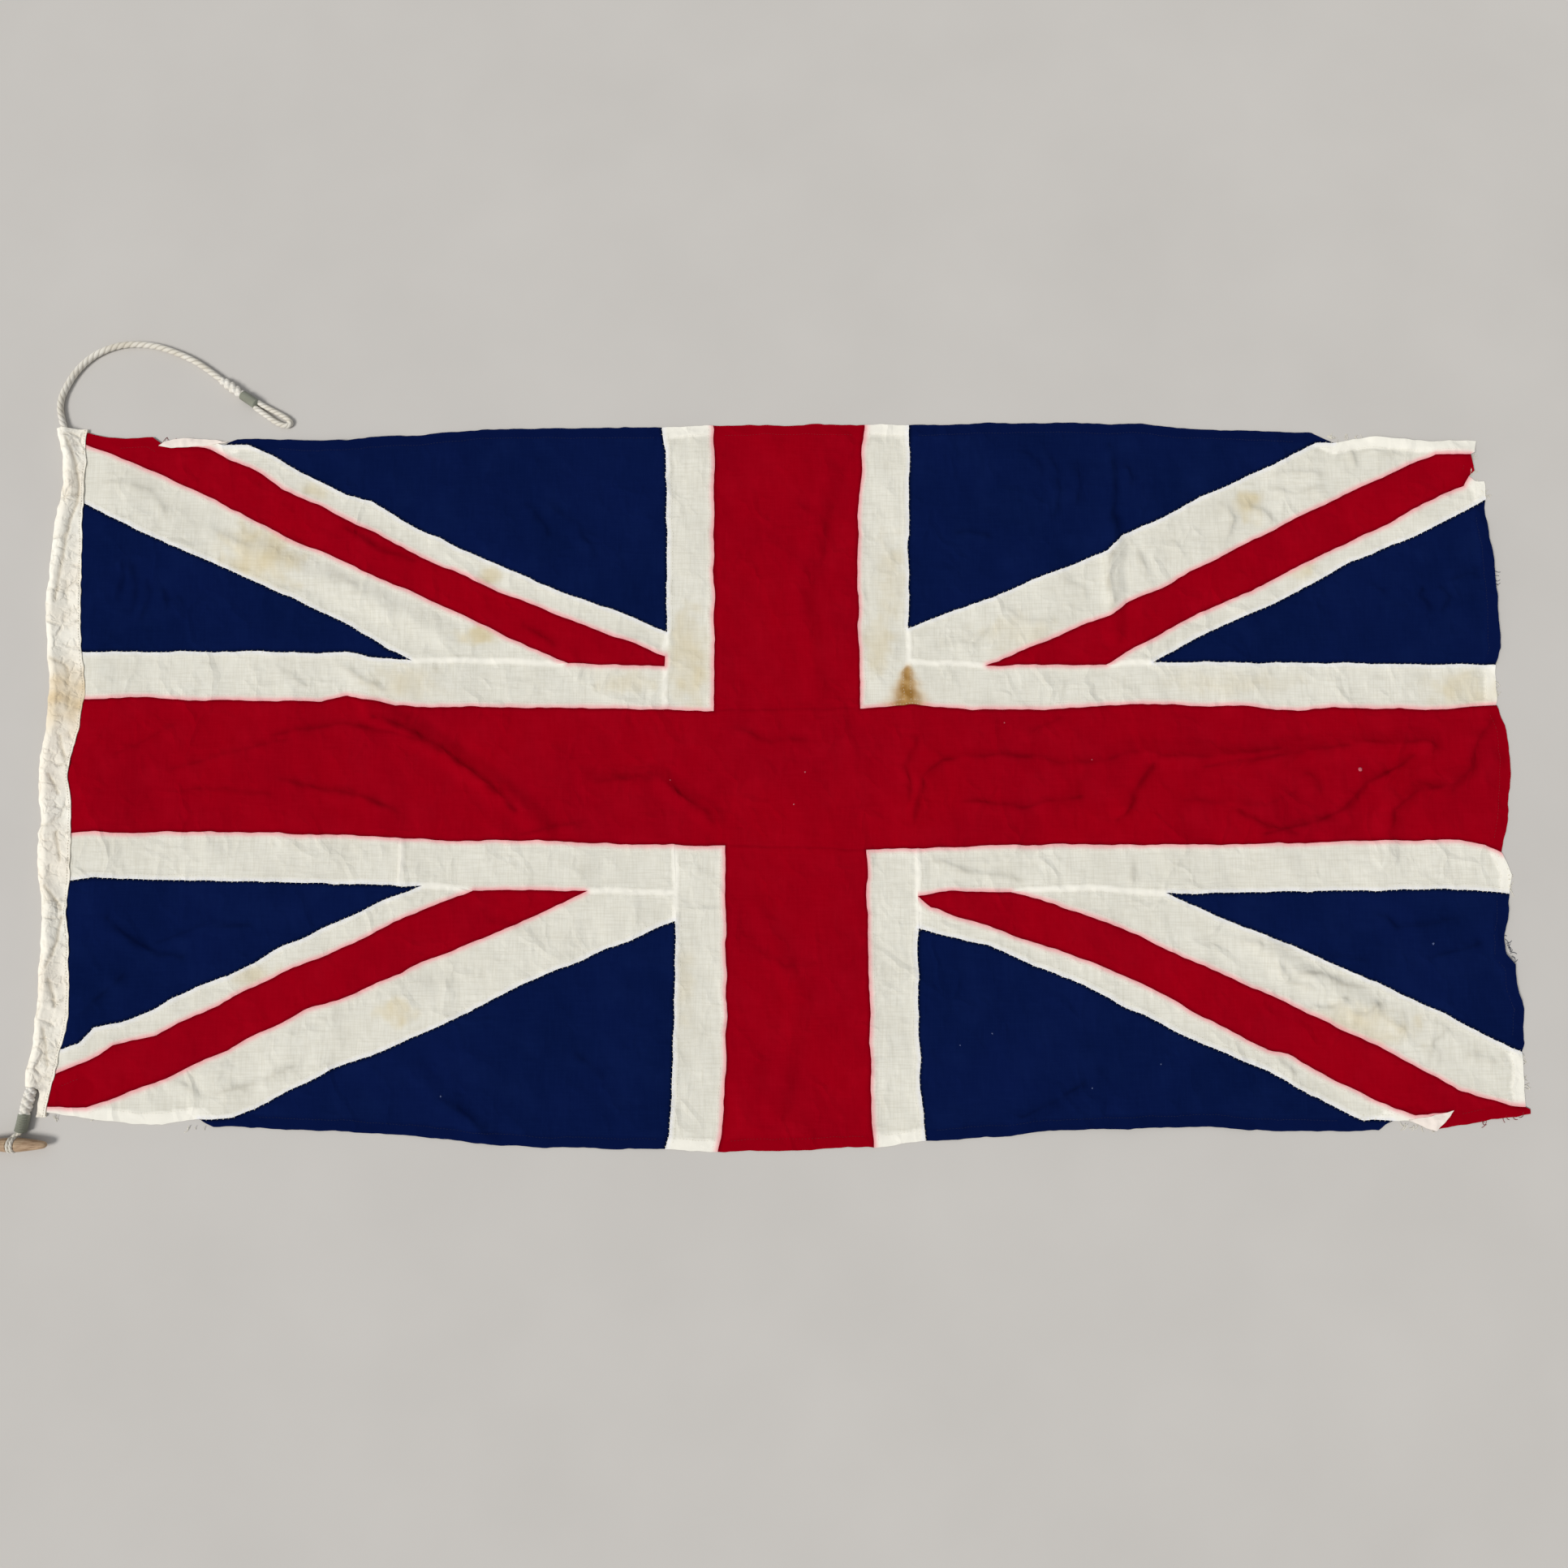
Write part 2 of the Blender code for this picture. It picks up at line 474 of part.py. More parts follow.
def heading():
    """Canvas folded round the rope, its two flaps above and below the hoist edge."""
    flap_height = HOIST_LIFT + CLOTH + GAP + CANVAS / 2
    rope_height = CANVAS / 2 + SLEEVE_RADIUS
    turns = [35, 62, 90, 118, 147, 178, 208, 240, 270]
    work = bmesh.new()
    rows = []
    for y, outer, rope, inner in HEADING:
        width = inner - rope
        slack = rope - outer - SLEEVE_RADIUS - CANVAS / 2
        upper = [(inner, flap_height), (inner - 0.3 * width, flap_height),
                 (rope + 9.2, flap_height)]
        wrap = []
        for turn in turns:
            angle = math.radians(turn)
            bulge = 1 + max(0.0, slack) / SLEEVE_RADIUS * max(0.0, -math.cos(angle))
            wrap.append((rope + SLEEVE_RADIUS * bulge * math.cos(angle),
                         rope_height + SLEEVE_RADIUS * math.sin(angle)))
        lower = [(rope + 9.2, CANVAS / 2), (inner - 0.3 * width, CANVAS / 2),
                 (inner, CANVAS / 2)]
        rows.append([work.verts.new(to_world(px, y, pz)) for px, pz in upper + wrap + lower])
    for row, (above, below) in enumerate(zip(rows, rows[1:])):
        past_rope = HEADING[row + 1][0] < ROPE_LEAVES_SLEEVE
        columns = len(above) - 1
        for column in range(columns):
            if past_rope and FLAP_COLUMNS <= column < columns - FLAP_COLUMNS:
                continue
            work.faces.new((above[column], below[column], below[column + 1], above[column + 1]))
    bmesh.ops.delete(work, geom=[vert for vert in work.verts if not vert.link_faces],
                     context="VERTS")
    bmesh.ops.recalc_face_normals(work, faces=work.faces)
    mesh = bpy.data.meshes.new("heading")
    work.to_mesh(mesh)
    work.free()
    sleeve = linked("heading", mesh, CREAM)
    wall = sleeve.modifiers.new("canvas", "SOLIDIFY")
    wall.thickness = CANVAS * MM
    wall.offset = 0
    return sleeve


def smooth_line(points, step):
    """Places about a step apart on a smooth curve through the points."""
    fine = []
    padded = [points[0], *points, points[-1]]
    for index in range(1, len(padded) - 2):
        p0, p1, p2, p3 = (Vector(padded[index + offset]) for offset in (-1, 0, 1, 2))
        count = max(1, round((p2 - p1).length / step))
        for part in range(count):
            t = part / count
            fine.append(0.5 * (2 * p1 + (p2 - p0) * t + (2 * p0 - 5 * p1 + 4 * p2 - p3) * t * t
                               + (3 * p1 - p0 - 3 * p2 + p3) * t ** 3))
    fine.append(Vector(points[-1]))
    return fine


def tube(name, points, radius, colour):
    """A plain round cord through the points, with flat ends."""
    curve = bpy.data.curves.new(name, "CURVE")
    curve.dimensions = "3D"
    curve.bevel_depth = radius * MM
    curve.bevel_resolution = 2
    curve.use_fill_caps = True
    spline = curve.splines.new("POLY")
    spline.points.add(len(points) - 1)
    for target, point in zip(spline.points, points):
        target.co = (*to_world(*point), 1)
    return linked(name, curve, colour)


def laid_rope(name, points, radius, colour, swell=0.0, step=4.0):
    """A three-strand rope: its lobed section turns as it goes; it may swell between its ends."""
    sides = 9
    work = bmesh.new()
    line = smooth_line(points, step)
    rings = []
    walked = 0.0
    for index, here in enumerate(line):
        ahead = line[min(index + 1, len(line) - 1)] - line[max(index - 1, 0)]
        if index:
            walked += (here - line[index - 1]).length
        across = ahead.cross(Vector((0, 0, 1))).normalized()
        up = across.cross(ahead).normalized()
        grown = radius * (1 + swell * math.sin(math.pi * index / (len(line) - 1)))
        ring = []
        for side in range(sides):
            angle = math.tau * side / sides
            turned = 3 * (angle - math.tau * walked / ROPE_LAY)
            size = grown * (1 - STRAND_DEPTH * (0.5 - 0.5 * math.cos(turned)))
            place = here + across * (size * math.cos(angle)) + up * (size * math.sin(angle))
            ring.append(work.verts.new(to_world(*place)))
        rings.append(ring)
    for first, second in zip(rings, rings[1:]):
        for side in range(sides):
            after = (side + 1) % sides
            work.faces.new((first[side], first[after], second[after], second[side]))
    work.faces.new(rings[0])
    work.faces.new(rings[-1])
    turned_out(work)
    mesh = bpy.data.meshes.new(name)
    work.to_mesh(mesh)
    work.free()
    return linked(name, mesh, colour)


def hoist_rope():
    """The rope inside the heading, from the tail's exit to where it leaves the sleeve."""
    height = CANVAS / 2 + SLEEVE_RADIUS
    inside = [(rope, y, height) for y, _, rope, _ in HEADING if y > ROPE_LEAVES_SLEEVE]
    inside.append((at([(row[2], row[0]) for row in HEADING], ROPE_LEAVES_SLEEVE, Y)[X],
                   ROPE_LEAVES_SLEEVE, height))
    tube("hoist_rope", inside, ROPE_RADIUS, ROPE)


def toggle_end():
    """Splice, serving, and the rope ring that grips the toggle's groove."""
    laid_rope("toggle_splice", SPLICE, 5.2, ROPE, swell=0.22, step=2.2)
    tube("toggle_serving", smooth_line(TOGGLE_SERVING, 5), TOGGLE_SERVING_RADIUS, SERVING)
    bpy.ops.object.select_all(action="DESELECT")
    bpy.ops.mesh.primitive_torus_add(
        major_segments=20, minor_segments=8, major_radius=8.1 * MM, minor_radius=2.3 * MM,
        location=to_world(*TOGGLE_CENTRE), rotation=(0, math.pi / 2, 0))
    ring = bpy.context.object
    ring.name = ring.data.name = "toggle_becket"
    ring.scale.z = (GROOVE_HALF - GAP) / 2.3
    bpy.ops.object.transform_apply(location=False, rotation=False, scale=True)
    ring.users_collection[0].objects.unlink(ring)
    collection("flag").objects.link(ring)
    ring.data.materials.append(material("toggle_becket", ROPE, 0.9))
    neck = baked(tube("becket_neck", smooth_line(BECKET_NECK, 2), 2.8, ROPE))
    collection("flag").objects.unlink(neck)
    collection("cutters").objects.link(neck)
    neck.hide_render = True
    neck.display_type = "WIRE"
    union = ring.modifiers.new("neck", "BOOLEAN")
    union.operation = "UNION"
    union.object = neck


def toggle():
    """A turned wooden pin that tapers to both ends, with a groove round its middle."""
    half = [(0.0, TOGGLE_HALF), (2.6, 42.6), (3.8, 40.5), (5.0, 34), (6.4, 24), (7.6, 14),
            (8.3, 8), (8.4, GROOVE_HALF + 1.0), (7.9, GROOVE_HALF), (5.3, GROOVE_HALF)]
    profile = half + [(radius, -along) for radius, along in reversed(half)]
    mesh = bpy.data.meshes.new("toggle")
    mesh.from_pydata([(radius * MM, 0, along * MM) for radius, along in profile],
                     [(index, index + 1) for index in range(len(profile) - 1)], [])
    pin = linked("toggle", mesh, WOOD, 0.6)
    pin.location = to_world(*TOGGLE_CENTRE)
    pin.rotation_euler.y = math.pi / 2
    turn = pin.modifiers.new("turned", "SCREW")
    turn.steps = turn.render_steps = 18
    turn.use_merge_vertices = True
    turn.merge_threshold = 0.00005
    turn.use_normal_calculate = True


def tail():
    """The free line at the toggle's other end: rope, serving, and an eye that lies flat."""
    laid_rope("tail_rope", TAIL, LINE_RADIUS, ROPE, step=6.0)
    tube("tail_serving", TAIL_SERVING, TAIL_SERVING_RADIUS, SERVING)
    laid_rope("tail_eye", EYE, EYE_RADIUS, ROPE, step=5.0)


for old in list(bpy.data.objects):
    bpy.data.objects.remove(old)

red_cross()
white_arms()
white_strips()
far_left_quarter()
far_right_quarter()
near_left_quarter()
near_right_quarter()
heading()
hoist_rope()
toggle_end()
toggle()
tail()
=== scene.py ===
import json
import math

import bmesh
import bpy
import numpy as np
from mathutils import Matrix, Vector
from mathutils.geometry import delaunay_2d_cdt


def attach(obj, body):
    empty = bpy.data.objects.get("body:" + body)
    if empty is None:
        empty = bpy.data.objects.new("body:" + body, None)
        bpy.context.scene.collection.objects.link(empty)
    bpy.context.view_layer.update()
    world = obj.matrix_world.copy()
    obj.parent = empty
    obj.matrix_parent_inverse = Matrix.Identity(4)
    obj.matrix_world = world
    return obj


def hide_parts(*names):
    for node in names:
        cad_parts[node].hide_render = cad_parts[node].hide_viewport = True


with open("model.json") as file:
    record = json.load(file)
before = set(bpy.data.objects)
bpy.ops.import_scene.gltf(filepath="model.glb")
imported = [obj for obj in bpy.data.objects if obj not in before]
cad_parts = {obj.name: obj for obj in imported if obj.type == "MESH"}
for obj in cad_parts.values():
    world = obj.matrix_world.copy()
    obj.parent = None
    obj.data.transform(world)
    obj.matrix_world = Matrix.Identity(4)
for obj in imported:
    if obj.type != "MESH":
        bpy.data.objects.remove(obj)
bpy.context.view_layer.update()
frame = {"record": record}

# The studio: a plain pale floor, one broad soft light from the left, so that folds are shaded
# on their right side, and a camera that hangs over the near half of the flag and
# leans a little towards its far edge.
MM = 0.001
CROSS_MIDDLE = (0.03808, -0.00847)
CAMERA_HEIGHT = 1.51819
CAMERA_BACK = 0.15421
CAMERA_LEAN = math.radians(5.8)
LIGHT_FROM = Vector((-0.6, -0.34, 0.85))


def place(x, y, z=0.0):
    """A point measured in millimetres from the middle of the cross, in the frame's metres."""
    return Vector((CROSS_MIDDLE[0] + x * MM, CROSS_MIDDLE[1] + y * MM, z * MM))


def tint(code):
    """A colour as it looks, written in hexadecimal, as the linear values that a shader takes."""
    parts = [int(code[start:start + 2], 16) / 255 for start in (0, 2, 4)]
    linear = [part / 12.92 if part <= 0.04045 else ((part + 0.055) / 1.055) ** 2.4
              for part in parts]
    return (*linear, 1.0)


def matt_finish(name, roughness, sheen=0.0, gloss=0.2):
    """A new matt material and its shader."""
    finish = bpy.data.materials.new(name)
    finish.use_nodes = True
    shader = finish.node_tree.nodes["Principled BSDF"]
    shader.inputs["Roughness"].default_value = roughness
    shader.inputs["Specular IOR Level"].default_value = gloss
    shader.inputs["Sheen Weight"].default_value = sheen
    shader.inputs["Sheen Roughness"].default_value = 0.6
    return finish, shader


def add(finish, kind, sockets, **settings):
    """A node of a material; each socket gets a value, or a link from another node's socket."""
    node = finish.node_tree.nodes.new("ShaderNode" + kind)
    for name, value in settings.items():
        setattr(node, name, value)
    for socket, value in sockets.items():
        if isinstance(value, bpy.types.NodeSocket):
            finish.node_tree.links.new(value, node.inputs[socket])
        else:
            node.inputs[socket].default_value = value
    return node


def blend(finish, amount, first, second):
    """Two colours mixed by an amount."""
    return add(finish, "Mix", {0: amount, 6: first, 7: second}, data_type="RGBA").outputs[2]


def sum_of(finish, first, second, kind="ADD"):
    """Two numbers put together."""
    return add(finish, "Math", {0: first, 1: second}, operation=kind).outputs[0]


def times(finish, first, second):
    """One number times another."""
    return sum_of(finish, first, second, "MULTIPLY")


def between(finish, value, low, high, start=0.0, end=1.0):
    """A number stretched from one range to another and held inside it."""
    sockets = {"Value": value, "From Min": low, "From Max": high, "To Min": start, "To Max": end}
    return add(finish, "MapRange", sockets).outputs[0]


def cloud(finish, scale, detail=3.0, stretch=(1, 1, 1), shift=0.0):
    """A soft irregular pattern fixed to the object."""
    where = add(finish, "TexCoord", {}).outputs["Object"]
    moved = add(finish, "Mapping", {"Vector": where, "Scale": stretch,
                                    "Location": (shift, shift, shift)}).outputs[0]
    return add(finish, "TexNoise", {"Vector": moved, "Scale": scale, "Detail": detail}).outputs[0]


def surfaced(finish, shader, colour, *reliefs):
    """Links a colour and reliefs, each a strength, a depth in metres and a height, large first."""
    finish.node_tree.links.new(colour, shader.inputs["Base Color"])
    sockets = {}
    for strength, depth, height, *sunk in reliefs:
        sockets.update({"Strength": strength, "Distance": depth, "Height": height})
        sockets["Normal"] = add(finish, "Bump", sockets, invert=bool(sunk)).outputs[0]
    if reliefs:
        finish.node_tree.links.new(sockets["Normal"], shader.inputs["Normal"])
    return finish


bpy.ops.object.select_all(action="DESELECT")
bpy.ops.mesh.primitive_plane_add(size=9)
floor = bpy.context.object
floor.name = floor.data.name = "floor"
screed, screed_shader = matt_finish("pale_screed", 0.85)
surfaced(screed, screed_shader, blend(screed, cloud(screed, 5, 6), tint("C3BFBA"), tint("CECAC5")))
floor.data.materials.append(screed)

camera = bpy.data.objects.new("camera", bpy.data.cameras.new("camera"))
bpy.context.scene.collection.objects.link(camera)
camera.data.lens = 28
camera.data.sensor_width = 36
camera.location = (CROSS_MIDDLE[0], CROSS_MIDDLE[1] - CAMERA_BACK, CAMERA_HEIGHT)
camera.rotation_euler = (CAMERA_LEAN, 0, 0)
bpy.context.scene.camera = camera

lamp = bpy.data.objects.new("soft_lamp", bpy.data.lights.new("soft_lamp", "SUN"))
bpy.context.scene.collection.objects.link(lamp)
lamp.data.angle = math.radians(22)
lamp.data.energy = 2.34
lamp.data.color = (1.0, 0.985, 0.955)
lamp.location = 2 * LIGHT_FROM
lamp.rotation_euler = (-LIGHT_FROM).to_track_quat("-Z", "Y").to_euler()
bpy.context.scene.view_settings.view_transform = "Standard"

room = bpy.data.worlds.new("pale_room")
bpy.context.scene.world = room
room.use_nodes = True
room.node_tree.nodes["Background"].inputs["Color"].default_value = (0.93, 0.96, 1.0, 1.0)
room.node_tree.nodes["Background"].inputs["Strength"].default_value = 0.42

# The tail line: three-strand rope that comes out of the far end of the heading, lies on the
# floor in an arc, and ends in an eye. A serving of tarred twine binds the eye's neck.
TAIL = [(-924, 457.8, 5.2), (-928, 468, 4.3), (-932, 485, 4.1), (-931, 500, 4.1),
        (-926, 514, 4.1), (-917, 531, 4.1), (-904, 547, 4.1), (-887, 560, 4.1), (-865, 569, 4.1),
        (-840, 572, 4.1), (-812, 569, 4.1), (-785, 560, 4.1), (-760, 548, 4.1), (-738, 533, 4.2),
        (-720, 519, 5.0), (-697, 502.6, 6.4)]
TAIL_SERVING = [(-696.7, 502.4, 6.6), (-688, 496.4, 6.6), (-679.5, 490.6, 6.6)]
TAIL_TUCKS = [(-724, 522, 6.0), (-716, 516.4, 6.3), (-708, 510.5, 6.6), (-698, 503.3, 6.6)]
TAIL_EYE = [(-677.4, 493.6, 5.5), (-671, 489.8, 4.0), (-660, 484, 3.5), (-646, 476.5, 3.5),
            (-638, 471, 3.5), (-635, 466, 3.5), (-639, 463, 3.5), (-646, 464, 3.5),
            (-655, 468.5, 3.5), (-665, 475.6, 3.5), (-674, 481.9, 3.9), (-681.2, 487.0, 5.5)]
TAIL_RADIUS = 4.0
TWINE_PITCH = 1.8


def smooth_line(points, step):
    """Places about a step apart on a smooth curve through the points."""
    fine = []
    padded = [points[0], *points, points[-1]]
    for index in range(1, len(padded) - 2):
        p0, p1, p2, p3 = (Vector(padded[index + offset]) for offset in (-1, 0, 1, 2))
        count = max(1, round((p2 - p1).length / step))
        for part in range(count):
            t = part / count
            fine.append(0.5 * (2 * p1 + (p2 - p0) * t + (2 * p0 - 5 * p1 + 4 * p2 - p3) * t * t
                               + (3 * p1 - p0 - 3 * p2 + p3) * t ** 3))
    fine.append(Vector(points[-1]))
    return fine


def new_piece(name, corners, faces):
    """A mesh object at the origin from plan points in millimetres and faces."""
    mesh = bpy.data.meshes.new(name)
    mesh.from_pydata([place(*corner) for corner in corners], [], faces)
    piece = bpy.data.objects.new(name, mesh)
    bpy.context.scene.collection.objects.link(piece)
    return piece


def twisted(name, line, radius, lay, strands=3, groove=0.2, swell=0.0, sides=24, pole=(0, 0, 1),
            tucked=False):
    """Rope or twine along a line: its lobed section turns as it goes. The UV map follows it."""
    corners, walked = [], [0.0]
    for index, here in enumerate(line):
        ahead = line[min(index + 1, len(line) - 1)] - line[max(index - 1, 0)]
        if index:
            walked.append(walked[-1] + (here - line[index - 1]).length)
        across = ahead.cross(Vector(pole)).normalized()
        up = across.cross(ahead).normalized()
        grown = radius * (1 + swell * math.sin(math.pi * index / (len(line) - 1)))
        for side in range(sides):
            angle = math.tau * side / sides
            lobe = abs(math.cos(strands * (angle - math.tau * walked[-1] / lay) / 2))
            if tucked:
                lobe *= abs(math.cos(strands * (angle + math.tau * walked[-1] / lay) / 2))
            size = grown * (1 - groove * (1 - lobe) ** 1.5)
            corners.append(here + across * (size * math.cos(angle)) + up * (size * math.sin(angle)))
    faces, spots = [], []
    for ring in range(len(line) - 1):
        for side in range(sides):
            after = (side + 1) % sides
            here, there = ring * sides, (ring + 1) * sides
            faces.append((here + side, there + side, there + after, here + after))
            for which, turn in ((ring, side), (ring + 1, side), (ring + 1, side + 1),
                                (ring, side + 1)):
                spots.append((turn / sides - walked[which] / lay, walked[which] / lay))
    for ring, order in ((0, 1), (len(line) - 1, -1)):
        inward = line[1] - line[0] if ring == 0 else line[-2] - line[-1]
        corners.append(line[ring] - inward.normalized() * (0.4 * radius))
        tip = len(corners) - 1
        for side in range(sides):
            rim = (ring * sides + side, ring * sides + (side + 1) % sides)[::order]
            faces.append((*rim, tip))
            spots += [(0, 0)] * 3
    piece = new_piece(name, corners, faces)
    layer = piece.data.uv_layers.new(name="strand")
    layer.data.foreach_set("uv", [value for spot in spots for value in spot])
    piece.data.polygons.foreach_set("use_smooth", [True] * len(faces))
    return piece


def laid_rope_finish(name, pale, dark, strands=3, yarns=4, depth=0.5):
    """Fibre rope: painted shade in the grooves between its strands, with fine yarns along them."""
    finish, shader = matt_finish(name, 0.9, 0.25)
    strand = add(finish, "UVMap", {}, uv_map="strand").outputs[0]
    split = add(finish, "SeparateXYZ", {0: strand})
    turn = times(finish, split.outputs[0], strands)
    valley = times(finish, sum_of(finish, turn, 0.5, "PINGPONG"), 2.0)
    along = times(finish, split.outputs[1], 5.0)
    yarn_turn = times(finish, sum_of(finish, turn, along), math.tau * yarns)
    yarn = sum_of(finish, yarn_turn, 0.0, "SINE")
    fuzz = cloud(finish, 900, 3)
    patches = between(finish, cloud(finish, 45, 4), 0.35, 0.7)
    deep = between(finish, valley, 0.55, 1.0)
    base = blend(finish, patches, tint(pale), tint(dark))
    # Painted shade in the grooves between the strands
    shaded = blend(finish, times(finish, deep, depth), base, tint("7D705C"))
    flecked = blend(finish, between(finish, fuzz, 0.55, 0.8, 0.0, 0.3), shaded, tint("A3967F"))
    relief = sum_of(finish, times(finish, yarn, 0.12), fuzz)
    return surfaced(finish, shader, flecked, (0.7, 0.0004, relief))


def dress(piece, finish, slot, *nodes):
    """Gives a piece its finish and its body, and hides the CAD nodes it stands for; the slot is not
    used.
    """
    piece.data.materials.clear()
    piece.data.materials.append(finish)
    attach(piece, "root")
    if nodes:
        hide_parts(*nodes)


rope_finish = laid_rope_finish("laid_rope", "ECE7DC", "D8D0C0")
tucked_finish = laid_rope_finish("tucked_rope", "F1EDE4", "DDD6C8", depth=0.12)
twine_finish = laid_rope_finish("tarred_twine", "969A8A", "7C7F70", strands=1, yarns=2)

tail_line = smooth_line(TAIL, 1.6)
tail = twisted("tail_line", tail_line, TAIL_RADIUS, lay=26.0, groove=0.14)
dress(tail, rope_finish, "rope", "tail_rope")
tail_serving = twisted("tail_serving_twine", smooth_line(TAIL_SERVING, 0.3), radius=6.4,
                       lay=TWINE_PITCH, strands=1, groove=0.09, sides=20)
tucks = twisted("tail_tucked_strands", smooth_line(TAIL_TUCKS, 0.9), radius=5.4, lay=27.0,
                groove=0.36, swell=0.25, sides=36, tucked=True)
dress(tucks, tucked_finish, "rope")
dress(tail_serving, twine_finish, "serving", "tail_serving")
eye = twisted("tail_eye_rope", smooth_line(TAIL_EYE, 1.2), radius=3.4, lay=20.0, groove=0.15)
dress(eye, rope_finish, "rope", "tail_eye")

# The flag: 32 cut pieces of woven wool bunting, red, blue and white, joined by flat felled
# seams whose allowance is turned under the white, and hemmed all round. It lies as it fell,
# with low broad folds, sharper creases from being kept folded, and cloth drawn up by the seams.
CLOTH_THICK = 0.7
CLOTH_LEVEL = 1.15
SEAM_WIDTH = 8.0
HEM_WIDTH = 15.0
FOLD_SHARE, FOLD_SPREAD = 0.85, 0.62
GRID = 3.3
ROWS = (1.3, 3.3, 5.4, 7.2, 8.6)
RIM_STEP = 3.9
HALF_SEAM_GAP = 0.15
HOIST_SIDE = -885
HOIST_LIFT, LIFT_FULL, LIFT_END = 1.5, -850, -780
# Height, half width and line of each broad fold, and then of each sharp crease
FOLDS = [
    (5.0, 34, [(-520, 95), (-478, 75), (-380, 14), (-328, -28), (-300, -60)]),
    (3.5, 32, [(-246, 2), (-201, 8), (-156, 8), (-90, -43)]),
    (4.5, 34, [(330, -25), (380, 25), (430, 42), (574, 34), (652, 45), (808, 53)]),
    (4.0, 34, [(808, 49), (740, -15), (679, -64)]),
    (4.0, 34, [(885, 30), (800, -10), (757, -29), (748, -90)]),
    (5.0, 30, [(420, 330), (420, 260), (418, 190)]),
    (4.5, 36, [(590, -200), (660, -250), (745, -290)]),
    (3.5, 34, [(289, -410), (330, -380), (380, -360)]),
    (3.5, 34, [(-361, -430), (-417, -384), (-450, -350)]),
    (4.0, 40, [(-680, 300), (-560, 250), (-430, 190)]),
    (3.5, 36, [(-700, -360), (-560, -300), (-420, -250)]),
    (3.0, 34, [(60, 400), (20, 250), (40, 120)]),
    (3.0, 34, [(-30, -150), (20, -270), (-10, -400)]),
    (4.0, 34, [(-640, 455), (-590, 440), (-500, 455)]),
    (4.0, 34, [(300, -440), (420, -425), (560, -428)]),
    (4.0, 34, [(895, 330), (905, 240), (905, 160)]),
    (4.5, 34, [(905, -150), (880, -190), (905, -260)]),
    (4.0, 34, [(760, 450), (830, 436), (895, 420)])]
